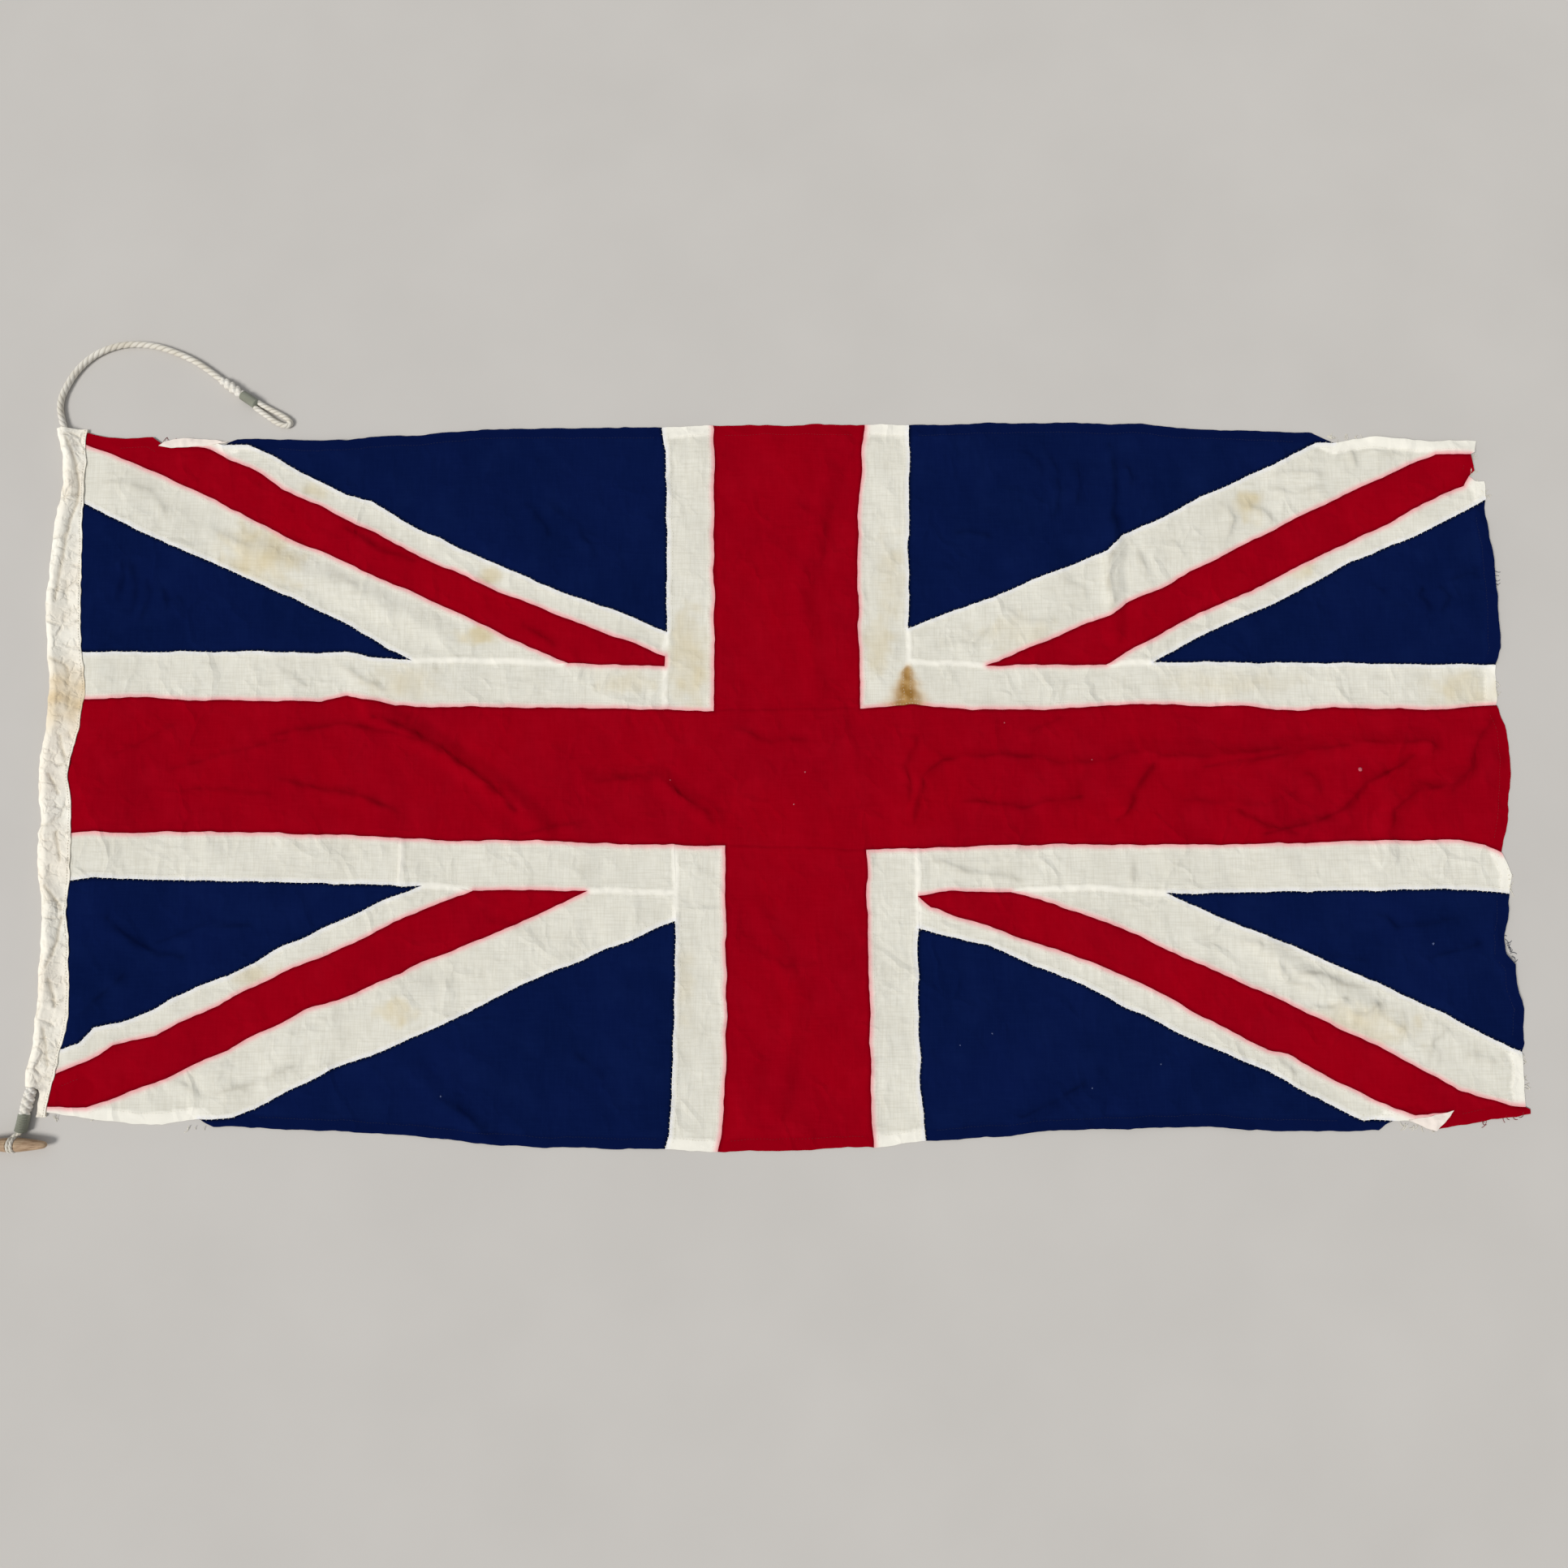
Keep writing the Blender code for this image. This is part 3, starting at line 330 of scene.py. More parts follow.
CREASES = [
    (1.9, 8, [(-515, 86), (-478, 70), (-440, 48), (-385, 12), (-358, -12), (-335, -32)]),
    (0.8, 10, [(-765, 76), (-800, 55), (-835, 38)]),
    (0.7, 10, [(-765, 18), (-700, 38), (-620, 56)]),
    (1.2, 7, [(-628, 6), (-585, -8), (-540, -12), (-485, -34)]),
    (0.7, 8, [(-745, -6), (-640, -14)]),
    (1.0, 7, [(-250, 0), (-201, 6), (-158, 6)]),
    (1.0, 7, [(-168, 14), (-130, -14), (-88, -46)]),
    (1.2, 8, [(163, -50), (172, 8), (198, 30), (260, 36), (312, 33)]),
    (1.0, 7, [(312, 36), (345, 24), (400, 28), (432, 40), (480, 36)]),
    (1.2, 7, [(528, 22), (590, 30), (640, 38), (706, 48)]),
    (0.9, 8, [(460, 36), (530, 34), (620, 44)]),
    (1.5, 7, [(418, -46), (438, -10), (463, 26)]),
    (0.8, 9, [(298, 56), (320, 72), (348, 84)]),
    (1.9, 8, [(600, -62), (660, -48), (698, -32), (728, 2), (768, 22), (788, 36)]),
    (1.8, 8, [(752, -60), (758, -32), (788, -10), (830, -2), (858, 18), (868, 56), (890, 80)]),
    (1.0, 8, [(716, 54), (760, 50), (800, 54), (816, 48)]),
    (0.8, 8, [(655, 15), (672, -10)]), (0.6, 9, [(500, -20), (600, -28), (640, -10)]),
    (0.8, 6, [(-846, 290), (-838, 262), (-846, 236)]),
    (0.8, 6, [(-832, 282), (-822, 250), (-826, 222)]),
    (0.7, 6, [(-812, 262), (-806, 236), (-812, 210)]), (0.8, 6, [(-790, 248), (-782, 222)]),
    (0.7, 6, [(-768, 240), (-760, 212)]),
    (0.8, 6, [(345, 420), (352, 380), (346, 345)]), (0.8, 6, [(376, 412), (378, 378), (374, 350)]),
    (1.3, 7, [(420, 440), (424, 400), (420, 350), (424, 315)]),
    (0.9, 6, [(440, 410), (446, 388)]), (0.8, 7, [(222, 322), (262, 318)]),
    (0.8, 6, [(300, 430), (322, 416), (330, 398)]),
    (1.6, 6, [(418, 300), (412, 262), (416, 224)]), (0.9, 8, [(452, 300), (462, 262)]),
    (0.7, 7, [(196, 176), (240, 178), (258, 196)]), (0.6, 8, [(280, 226), (300, 208), (340, 206)]),
    (0.7, 7, [(350, 262), (382, 250), (384, 232)]), (0.7, 6, [(496, 312), (510, 290)]),
    (0.9, 7, [(560, 362), (574, 340), (566, 316)]), (0.9, 7, [(590, 358), (612, 352), (624, 334)]),
    (0.8, 7, [(622, 398), (650, 404), (690, 398)]), (0.8, 7, [(630, 380), (652, 372), (690, 384)]),
    (1.0, 6, [(728, 432), (734, 406)]), (0.7, 8, [(748, 430), (800, 424)]),
    (0.8, 6, [(812, 250), (806, 240), (818, 226), (812, 214)]),
    (0.8, 6, [(836, 252), (842, 236), (836, 222)]), (0.7, 6, [(760, 224), (790, 228)]),
    (0.8, 8, [(746, 256), (762, 244)]), (0.6, 9, [(850, 262), (880, 270)]),
    (0.9, 7, [(736, -162), (756, -178), (790, -176), (834, -168)]),
    (0.8, 7, [(800, -214), (832, -206), (860, -196)]), (0.6, 9, [(660, -210), (720, -218)]),
    (1.2, 7, [(604, -222), (622, -244), (650, -252)]),
    (1.3, 7, [(632, -232), (660, -236), (690, -250), (712, -250)]),
    (1.2, 6, [(646, -276), (672, -276), (690, -264)]),
    (1.2, 7, [(690, -282), (712, -284), (730, -270)]), (0.8, 8, [(742, -292), (760, -302)]),
    (0.8, 7, [(812, -302), (794, -318), (790, -338)]), (0.7, 8, [(838, -332), (868, -340)]),
    (0.8, 7, [(566, -196), (590, -200)]), (0.8, 8, [(606, -336), (624, -358)]),
    (0.8, 8, [(-870, 388), (-840, 386), (-806, 374)]), (0.7, 8, [(-808, 372), (-790, 350)]),
    (0.7, 8, [(-740, 330), (-700, 312), (-680, 300)]), (0.7, 8, [(-572, 268), (-540, 248)]),
    (0.9, 7, [(-566, 158), (-536, 134), (-500, 118)]), (0.7, 7, [(-640, 150), (-600, 124)]),
    (0.8, 8, [(-330, 200), (-290, 176)]), (0.8, 6, [(433, -95), (432, -126)]),
    (0.9, 6, [(186, -95), (230, -110), (296, -120)]), (0.7, 6, [(-474, -68), (-476, -122)]),
    (1.1, 8, [(289, -406), (330, -388), (366, -365)]),
    (1.1, 8, [(-417, -384), (-388, -404), (-361, -426)]),
    (0.7, 8, [(-300, 360), (-262, 330), (-240, 290)]), (0.7, 8, [(-220, -360), (-260, -330)]),
    (0.7, 8, [(-780, -200), (-720, -176), (-660, -176)]), (0.6, 9, [(-360, -170), (-310, -186)]),
    (0.6, 8, [(20, 360), (52, 330), (48, 280)]), (0.6, 8, [(-40, -200), (0, -226), (40, -222)]),
    (1.2, 8, [(-690, -380), (-643, -366), (-597, -346)]), (0.9, 7, [(-750, -360), (-713, -379)]),
    (1.5, 9, [(-835, -165), (-812, -190), (-772, -212), (-740, -214)]),
    (1.2, 8, [(-868, -290), (-838, -262), (-812, -236)]),
    (1.1, 8, [(-560, 330), (-520, 300), (-470, 286)]), (1.0, 8, [(-330, 360), (-300, 320)]),
    (1.0, 7, [(168, 60), (150, 20), (158, -20)]), (0.9, 7, [(-60, 70), (-20, 52), (30, 56)]),
    (1.1, 7, [(-640, 62), (-560, 74), (-490, 64), (-452, 54)]), (0.9, 7, [(-330, -64), (-250, -48)]),
    (1.0, 7, [(226, -22), (300, -30), (372, -16)]), (1.1, 7, [(560, -30), (600, -54), (640, -62)])]
CREASE_RISE, CREASE_SHADED, CREASE_LIT = 2.6, 4.0, 1.5
CREASE_TURN = 0.71
# Strength and width of each line of painted shade along the creases
CREASE_SHADE_LINES = ((0.7, 2.2), (0.36, 6.5))
CREASE_ROWS = (0, -1.3, 1.3, -2.6, 2.6, -4.4, 4.4)
# Height, wavelength and seed of each ripple of the cloth; wavelength and seed of its crumples
RIPPLES = ((0.8, 95, 31), (0.36, 38, 32), (0.12, 15, 33))
CRUMPLES, CRUMPLE_RISE = ((88, 35), (62, 37)), 0.3
PUCKER_RISE, PUCKER_REACH = 0.26, 16
SEAM_RISE, PLAIN_SEAM_RISE, HEM_RISE, HEM_GROOVE = 0.4, 0.3, 0.6, 0.45
PLAIN_SEAM_WIDTH = 4.4
# Middle, half width, half height and strength of each tan stain
TAN_STAINS = [(-664, 293, 58, 52, 0.62), (-385, 190, 32, 14, 0.8), (-375, 267, 17, 14, 0.7),
              (-119, 158, 30, 70, 0.5), (-477, -281, 28, 17, 0.62), (592, 360, 19, 25, 0.66),
              (656, 276, 24, 18, 0.55), (-600, 378, 20, 13, 0.55), (-655, -235, 31, 19, 0.4),
              (-130, -250, 22, 60, 0.2), (135, 260, 20, 70, 0.28), (700, -300, 80, 30, 0.4),
              (300, 190, 60, 26, 0.22), (-200, 130, 46, 16, 0.34), (560, 128, 90, 18, 0.2),
              (860, 118, 60, 26, 0.4), (-480, 128, 50, 24, 0.3), (120, 180, 26, 40, 0.42)]
RUST_TOP, RUST_FOOT = (157, 153), 99
RUST_NECK, RUST_SPREAD = 5, 24


def ripple(x, y, wavelength, seed):
    """A smooth irregular wave of about -1 to 1 that is the same wherever it is asked for."""
    draw = np.random.default_rng(seed)
    total = np.zeros_like(x)
    waves = 9
    for _ in range(waves):
        bearing, phase = draw.uniform(0, math.tau, 2)
        length = wavelength * draw.uniform(0.65, 1.5)
        way = x * math.cos(bearing) + y * math.sin(bearing)
        total += np.sin(way * math.tau / length + phase)
    return total / math.sqrt(waves)


def soft(value):
    """0 below 0, 1 above 1, smooth between."""
    value = np.clip(value, 0, 1)
    return value * value * (3 - 2 * value)


def fade(distance, width):
    """1 at a line, falling off to nothing beside it."""
    return np.exp(-(distance / width) ** 2)


def away(x, y, edges):
    """Millimetres from each point to the nearest of some straight edges."""
    nearest = np.full(np.shape(x), 1e6)
    for (ax, ay), (bx, by) in edges:
        dx, dy = bx - ax, by - ay
        share = np.clip(((x - ax) * dx + (y - ay) * dy) / (dx * dx + dy * dy), 0, 1)
        nearest = np.minimum(nearest, np.hypot(x - ax - share * dx, y - ay - share * dy))
    return nearest


def creased(x, y, height, half_width, line):
    """Height of one crease: steep on its shaded side, gentle on the lit one, tapered off."""
    nearest = np.full(np.shape(x), 1e6)
    lit, along, walked = np.zeros(np.shape(x)), np.zeros(np.shape(x)), 0.0
    for (ax, ay), (bx, by) in chained(line):
        dx, dy = bx - ax, by - ay
        length = math.hypot(dx, dy)
        share = np.clip(((x - ax) * dx + (y - ay) * dy) / length ** 2, 0, 1)
        off_x, off_y = x - ax - share * dx, y - ay - share * dy
        far = np.hypot(off_x, off_y)
        closer = far < nearest
        nearest = np.where(closer, far, nearest)
        toward = (off_x * LIGHT_FROM.x + off_y * LIGHT_FROM.y) / (CREASE_TURN * far + 1e-6)
        lit = np.where(closer, soft(0.5 + 0.7 * toward), lit)
        along = np.where(closer, walked + share * length, along)
        walked += length
    taper = soft(np.minimum(along, walked - along) / (0.2 * walked) + 0.25)
    reach = CREASE_SHADED + (CREASE_LIT * half_width - CREASE_SHADED) * lit
    return CREASE_RISE * height * taper * np.exp(-(nearest / reach) ** 1.6)


def chained(line):
    """The straight edges between a line's points."""
    return list(zip(line, line[1:]))


def edges_round(line):
    """The straight edges all round a closed line."""
    return chained([*line, line[0]])


def creases_near(x, y, margin):
    """The creases that come within a margin of the points."""
    for height, half_width, line in CREASES:
        spread = np.array(line)
        if ((spread.min(0) - margin < (x.max(), y.max())).all()
                and (spread.max(0) + margin > (x.min(), y.min())).all()):
            yield height, half_width, line


def cut_line(node):
    """The cut edge of a piece, in plan millimetres and anticlockwise, off its CAD solid."""
    copy = bmesh.new()
    copy.from_mesh(bpy.data.objects[node].data)
    bmesh.ops.remove_doubles(copy, verts=copy.verts, dist=1e-6)
    copy.normal_update()
    onward = {}
    for face in copy.faces:
        if face.normal.z > 0.3:
            for loop in face.loops:
                if sum(other.normal.z > 0.3 for other in loop.edge.link_faces) == 1:
                    onward[loop.vert] = loop.link_loop_next.vert
    start = here = next(iter(onward))
    found = []
    while not found or here != start:
        found.append(((here.co.x - CROSS_MIDDLE[0]) / MM, (here.co.y - CROSS_MIDDLE[1]) / MM))
        here = onward[here]
    copy.free()
    # The solids stand apart by a hair; the cloth pieces meet
    grown = []
    for before, here, after in zip([found[-1], *found], found, [*found[1:], found[0]]):
        first = Vector((here[1] - before[1], before[0] - here[0])).normalized()
        second = Vector((after[1] - here[1], here[0] - after[0])).normalized()
        mitre = (first + second) / (1 + first.dot(second))
        grown.append((here[0] + HALF_SEAM_GAP * mitre.x, here[1] + HALF_SEAM_GAP * mitre.y))
    return grown


def walked_round(line, step):
    """Places a step apart round a closed line, and which of them are its corners."""
    places, corners = [], []
    for (ax, ay), (bx, by) in edges_round(line):
        count = max(1, math.ceil(math.hypot(bx - ax, by - ay) / step))
        for part in range(count):
            places.append((ax + (bx - ax) * part / count, ay + (by - ay) * part / count))
            corners.append(part == 0)
    return places, corners


bunting = {part["node"]: part["material_slot"] for part in frame["record"]["subparts"]
           if part["material_slot"].startswith("bunting")}
cut_lines = {node: cut_line(node) for node in bunting}
rims = {node: walked_round(line, RIM_STEP) for node, line in cut_lines.items()}
seams = {}
for node, (places, corners) in rims.items():
    spots = np.array(places)
    middles = (spots + np.roll(spots, -1, axis=0)) / 2
    beside = np.where(middles[:, 0] < HOIST_SIDE, "hoist", "edge").astype("<U16")
    for other, line in cut_lines.items():
        if other != node:
            close = away(*middles.T, edges_round(line)) < 6 * HALF_SEAM_GAP
            beside[close] = bunting[other]
    runs = {}
    start = 0
    for index in range(1, len(places) + 1):
        last = index == len(places)
        if last or corners[index] or beside[index] != beside[start]:
            end = places[0] if last else places[index]
            runs.setdefault(str(beside[start]), []).append((places[start], end))
            start = index
    seams[node] = runs
hems = [edge for runs in seams.values() for edge in runs.get("edge", [])]


def from_seams(x, y, node, *beside):
    """Millimetres to the nearest seam that joins a piece to cloth of these slots."""
    return away(x, y, [edge for slot in beside for edge in seams[node].get(slot, [])])


def wander(x, y):
    """Points moved by the small sideways wander of cut and stretched cloth."""
    return (x + 0.8 * ripple(x, y, 52, 11) + 0.3 * ripple(x, y, 17, 12),
            y + 0.8 * ripple(x, y, 52, 13) + 0.3 * ripple(x, y, 17, 14))


def laid_height(x, y, node):
    """Height of the cloth's upper face, with its folds, creases, seams, hems and puckers."""
    fold, crease = np.zeros_like(x), np.zeros_like(x)
    for height, half_width, line in FOLDS:
        far = np.minimum(away(x, y, chained(line)) / (FOLD_SPREAD * half_width), 1)
        fold = np.maximum(fold, height * (0.5 + 0.5 * np.cos(math.pi * far)))
    for height, half_width, line in creases_near(x, y, 40):
        crease = np.maximum(crease, creased(x, y, height, half_width, line))
    crease *= 0.85 + 0.25 * ripple(x, y, 34, 21)
    seam = np.exp(-from_seams(x, y, node, *seams[node]) / PUCKER_REACH)
    relief = crease + 0.9 + PUCKER_RISE * seam * ripple(x, y, 11, 34)
    for height, wavelength, seed in RIPPLES:
        relief += height * ripple(x, y, wavelength, seed)
    for wavelength, seed in CRUMPLES:
        crumpled = soft(0.35 + 0.8 * ripple(x, y, 120, seed + 1))
        relief += CRUMPLE_RISE * crumpled * fade(ripple(x, y, wavelength, seed), 0.24)
    plain = from_seams(x, y, node, bunting[node])
    if bunting[node] == "bunting_white":
        coloured = from_seams(x, y, node, "bunting_red", "bunting_blue")
        relief += SEAM_RISE * soft((SEAM_WIDTH + 0.6 - coloured) / 2.4)
        relief += PLAIN_SEAM_RISE * soft((PLAIN_SEAM_WIDTH - plain) / 1.4)
    else:
        relief += 0.2 * soft((6.6 - plain) / 1.4) - 0.2 * fade(plain, 1.6)
    from_hem = away(x, y, hems)
    relief += HEM_RISE * soft((HEM_WIDTH + 0.7 - from_hem) / 1.4)
    relief -= HEM_GROOVE * fade(from_hem - HEM_WIDTH, 1.5)
    relief *= 0.5 + 0.5 * soft(from_hem / 25)
    ease = soft((x + 886) / 26)
    lift = HOIST_LIFT * soft((LIFT_END - x) / (LIFT_END - LIFT_FULL))
    flat = lift + FOLD_SHARE * fold * soft((x - LIFT_FULL) / (LIFT_END - LIFT_FULL)) + CLOTH_LEVEL
    return np.maximum(flat + ease * relief, CLOTH_THICK + 0.08)


def soiled_folds(x, y):
    """Amount of painted shade along the creases, set a little to their shaded side, strongest where
    they are sharp.
    """
    mark = np.zeros_like(x)
    for height, _, line in creases_near(x, y, 9):
        off = away(x + 1.2, y + 0.4, chained(line))
        line_mark = sum(strength * fade(off, width) for strength, width in CREASE_SHADE_LINES)
        mark = np.maximum(mark, min(1.0, height / 1.7) * line_mark)
    return np.clip(mark * (0.75 + 0.4 * ripple(x, y, 40, 22)), 0, 1)


def inside(x, y, line):
    """Which points lie within a closed line."""
    within = np.zeros(x.shape, bool)
    for (ax, ay), (bx, by) in edges_round(line):
        crosses = (ay > y) != (by > y)
        if crosses.any():
            within ^= crosses & (x < (bx - ax) * (y - ay) / (by - ay + 1e-12) + ax)
    return within


def rows_beside_creases(spacing):
    """Points in rows on and beside every crease, so that its crest comes out sharp."""
    found = []
    for offset in CREASE_ROWS:
        for _, _, line in CREASES:
            (ax, ay), (bx, by) = line[0], line[1]
            first = Vector((ax, ay)) + 5 * Vector((ax - bx, ay - by)).normalized()
            (ax, ay), (bx, by) = line[-1], line[-2]
            last = Vector((ax, ay)) + 5 * Vector((ax - bx, ay - by)).normalized()
            for start, end in chained([first, *(Vector(point) for point in line[1:-1]), last]):
                way = (end - start).normalized()
                count = max(1, round((end - start).length / spacing))
                for number in range(count):
                    middle = start + (end - start) * ((number + 0.5) / count)
                    found.append((middle.x - offset * way.y, middle.y + offset * way.x))
    cells = np.round(np.array(found) / 1.25).astype(int)
    _, first = np.unique(cells, axis=0, return_index=True)
    return np.array(found)[np.sort(first)]


crease_spots = rows_beside_creases(3.0)
crease_edges = [edge for _, _, line in CREASES for edge in chained(line)]


def meshed(line, places, spacing, rows, creases=True):
    """Plan points and triangles that fill a cut line: rows beside its edge, then a grid."""
    edges = edges_round(line)
    spots = np.array(places)
    forward = np.roll(spots, -1, axis=0) - spots
    forward /= np.linalg.norm(forward, axis=1)[:, None]
    mean = forward + np.roll(forward, 1, axis=0)
    mean /= np.linalg.norm(mean, axis=1)[:, None] + 1e-9
    inward = np.stack([-mean[:, 1], mean[:, 0]], axis=1)
    filled = [spots]
    for row in rows:
        beside = spots + inward * row
        far = away(beside[:, 0], beside[:, 1], edges)
        keep = (far > 0.96 * row) & inside(beside[:, 0], beside[:, 1], line)
        filled.append(beside[keep])
    low, high = spots.min(0), spots.max(0)
    across, up = np.meshgrid(np.arange(low[0], high[0], spacing),
                             np.arange(low[1], high[1], spacing * 0.866))
    across = across + np.where(np.arange(up.shape[0]) % 2, spacing / 2, 0.0)[:, None]
    across, up = across.ravel(), up.ravel()
    keep = inside(across, up, line)
    across, up = across[keep], up[keep]
    margin = (rows[-1] if rows else 0) + 0.55 * spacing
    deep = away(across, up, edges) > margin
    if creases:
        deep &= away(across, up, crease_edges) > CREASE_ROWS[-1] + 0.5 * spacing
        beside = crease_spots[inside(*crease_spots.T, line)]
        if len(beside):
            filled.append(beside[away(*beside.T, edges) > margin])
    filled.append(np.stack([across[deep], up[deep]], axis=1))
    points = [Vector(point) for point in np.concatenate(filled)]
    result = delaunay_2d_cdt(points, [], [list(range(len(places)))], 1, 1e-4)
    corners = np.array([(point.x, point.y) for point in result[0]])
    faces = [tuple(face) for face in result[2]]
    a, b, c = (corners[[face[which] for face in faces]] for which in (0, 1, 2))
    turn = (b[:, 0] - a[:, 0]) * (c[:, 1] - a[:, 1]) - (b[:, 1] - a[:, 1]) * (c[:, 0] - a[:, 0])
    return corners, [face if way > 0 else face[::-1]
                     for face, way in zip(faces, turn) if abs(way) > 1e-7]


def flat_size(line):
    """Width, length and area in metres of the smallest rectangle of cloth it is cut from."""
    points = np.array(line) * MM
    best = None
    for turn in np.radians(np.arange(0, 180, 1.0)):
        across = points @ np.array([math.cos(turn), math.sin(turn)])
        up = points @ np.array([-math.sin(turn), math.cos(turn)])
        sides = sorted((np.ptp(across), np.ptp(up)))
        if best is None or sides[0] * sides[1] < best[0] * best[1]:
            best = sides
    x, y = points[:, 0], points[:, 1]
    area = 0.5 * abs(np.sum(x * np.roll(y, -1) - y * np.roll(x, -1)))
    return float(best[0]), float(best[1]), float(area)


def stained(x, y):
    """Amounts of tan and of rust on the cloth."""
    tan = np.zeros_like(x)
    for middle_x, middle_y, wide, tall, strength in TAN_STAINS:
        far = np.hypot((x - middle_x) / wide, (y - middle_y) / tall)
        far += 0.2 * ripple(x, y, 34, 43) + 0.1 * ripple(x, y, 13, 44)
        tan = np.maximum(tan, strength * soft((1.25 - far) / 1.0))
    tan *= 0.9 + 0.2 * ripple(x, y, 40, 41)
    down = (RUST_TOP[1] - y) / (RUST_TOP[1] - RUST_FOOT)
    wide = RUST_NECK + RUST_SPREAD * np.clip(down, 0, 1) ** 1.1 + 1.4 * ripple(x, y, 18, 42)
    off = np.abs(x - RUST_TOP[0] + 3 * down) / wide
    rust = soft((1.5 - off) / 1.5) * soft(down * 5 + 0.2) * soft((1.02 - down) * 30)
    return np.clip(tan, 0, 1), np.clip(rust, 0, 1)


def weave(finish, threads):
    """Height of a plain weave with this many threads to the metre, two ways, worn uneven."""
    where = add(finish, "TexCoord", {}).outputs["Object"]
    ways = []
    for direction in ("X", "Y"):
        wave = add(finish, "TexWave", {"Vector": where, "Scale": threads * 0.314,
                                       "Distortion": 1.6, "Detail": 1.0,
                                       "Detail Scale": 0.02},
                   wave_type="BANDS", bands_direction=direction)
        ways.append(wave.outputs[1])
    crossed = times(finish, ways[0], ways[1])
    return sum_of(finish, crossed, times(finish, cloud(finish, 700, 3), 0.8))


def wrinkled(finish, scale, width, shift):
    """Scattered short wrinkles: strands of an irregular net, seen only here and there."""
    where = add(finish, "TexCoord", {}).outputs["Object"]
    bend = add(finish, "TexNoise", {"Vector": where, "Scale": 0.9 * scale, "Detail": 3.0})
    bent = add(finish, "VectorMath", {0: bend.outputs[1], 1: (0.9 / scale,) * 3, 2: where},
               operation="MULTIPLY_ADD").outputs[0]
    net = add(finish, "TexVoronoi", {"Vector": bent, "Scale": scale}, voronoi_dimensions="2D",
              feature="DISTANCE_TO_EDGE").outputs["Distance"]
    shown = between(finish, cloud(finish, 0.8 * scale, 3, shift=shift), 0.45, 0.62)
    return times(finish, between(finish, net, 0.0, width, 1.0, 0.0), shown)


def bunting_finish(name, first, second, dust, edge, band, soil, wrinkles, slubs):
    """Woven wool: two close tones, faded and dusty patches, the tones of its seams, and painted
    shade along its creases and beside the seams of the red and blue.
    """
    finish, shader = matt_finish(name, 0.95, gloss=0.0)
    tone = blend(finish, between(finish, cloud(finish, 7, 5), 0.3, 0.7), tint(first), tint(second))
    faded = between(finish, cloud(finish, 26, 6, shift=3.1), 0.48, 0.78, 0.0, 0.28)
    tone = blend(finish, faded, tone, tint(dust))
    for stretch in ((0.5, 9, 1), (9, 0.5, 1)):
        slub = between(finish, cloud(finish, 62, 4, stretch=stretch), 0.44, 0.7, 0.0, slubs)
        tone = blend(finish, slub, tone, tint(dust))

    def painted(attribute, strength, colour, under):
        amount = add(finish, "Attribute", {}, attribute_name=attribute).outputs[2]
        broken = times(finish, amount, strength)
        return blend(finish, broken, under, tint(colour))

    tone = painted("band", 0.85, band, tone)
    tone = painted("tan", 0.74, "CFB980", tone)
    # Painted shade along the creases
    tone = painted("soil", 0.42, soil, tone)
    tone = painted("cool", 0.8, "EEEEF4", tone)
    # Pink by the red seams on the white; painted shade by the seams on the red and blue
    tone = painted("edge", 0.95, edge, tone)
    tone = painted("rust", 0.95, "C59E63", tone)
    core = between(finish, add(finish, "Attribute", {}, attribute_name="rust").outputs[2], 0.4, 0.9)
    broken = between(finish, cloud(finish, 70, 4), 0.35, 0.6, 0.35, 0.9)
    tone = blend(finish, times(finish, core, broken), tone, tint("94692C"))
    large = wrinkled(finish, 15, 0.12, 2.3)
    small = times(finish, wrinkled(finish, 37, 0.22, 6.1), 0.5)
    return surfaced(finish, shader, tone, (wrinkles, 0.0015, sum_of(finish, large, small)),
                    (0.35, 0.0003, weave(finish, 1450)))


# Each cloth's colour for its creases is painted shade along them; its edge colour is the pink by red
# seams on the white, and painted shade by the seams on the red and blue.
bunting_finishes = {
    "bunting_red": bunting_finish("red_bunting", "900014", "9A0013", dust="A80A1E",
                                  edge="72000E", band="930013", soil="4C0007", wrinkles=0.6,
                                  slubs=0.13),
    "bunting_blue": bunting_finish("blue_bunting", "07143C", "0A1744", dust="112150",
                                   edge="030819", band="08143E", soil="02040F", wrinkles=0.6,
                                   slubs=0.12),
    "bunting_white": bunting_finish("white_bunting", "E4E1D5", "EBE8DC", dust="CFCABA",
                                    edge="F2A2A6", band="FAF6EA", soil="A39C8A", wrinkles=0.8,
                                    slubs=0.4)}


def shaded_edges(x, y, node):
    """Amounts of seam band, of tinted seam edges on the white and of painted shade by the seams of
    the red and blue, from the distances to the seams.
    """
    red, blue, white = (from_seams(x, y, node, slot)
                        for slot in ("bunting_red", "bunting_blue", "bunting_white"))
    hem = soft((HEM_WIDTH + 0.5 - away(x, y, hems)) / 1.6)
    if bunting[node] == "bunting_white":
        turned_in = 0.15 * soft((SEAM_WIDTH + 0.4 - np.minimum(red, blue)) / 1.6)
        band = np.maximum(np.maximum(turned_in, soft((PLAIN_SEAM_WIDTH - 0.2 - white) / 1.6)), hem)
        return {"band": band, "cool": fade(blue, 3.2), "edge": fade(red, 4.1)}
    own = fade(from_seams(x, y, node, bunting[node]), 1.6)
    # Red and blue: painted shade beside the white seams, and fainter along their own seams
    return {"band": hem, "edge": np.maximum(fade(white, 2.6), 0.3 * own)}


def marked(piece, amounts):
    """Stores amounts at a piece's points, for its material to read."""
    for name, values in amounts.items():
        layer = piece.data.attributes.new(name, "FLOAT", "POINT")
        layer.data.foreach_set("value", np.asarray(values, np.float32))


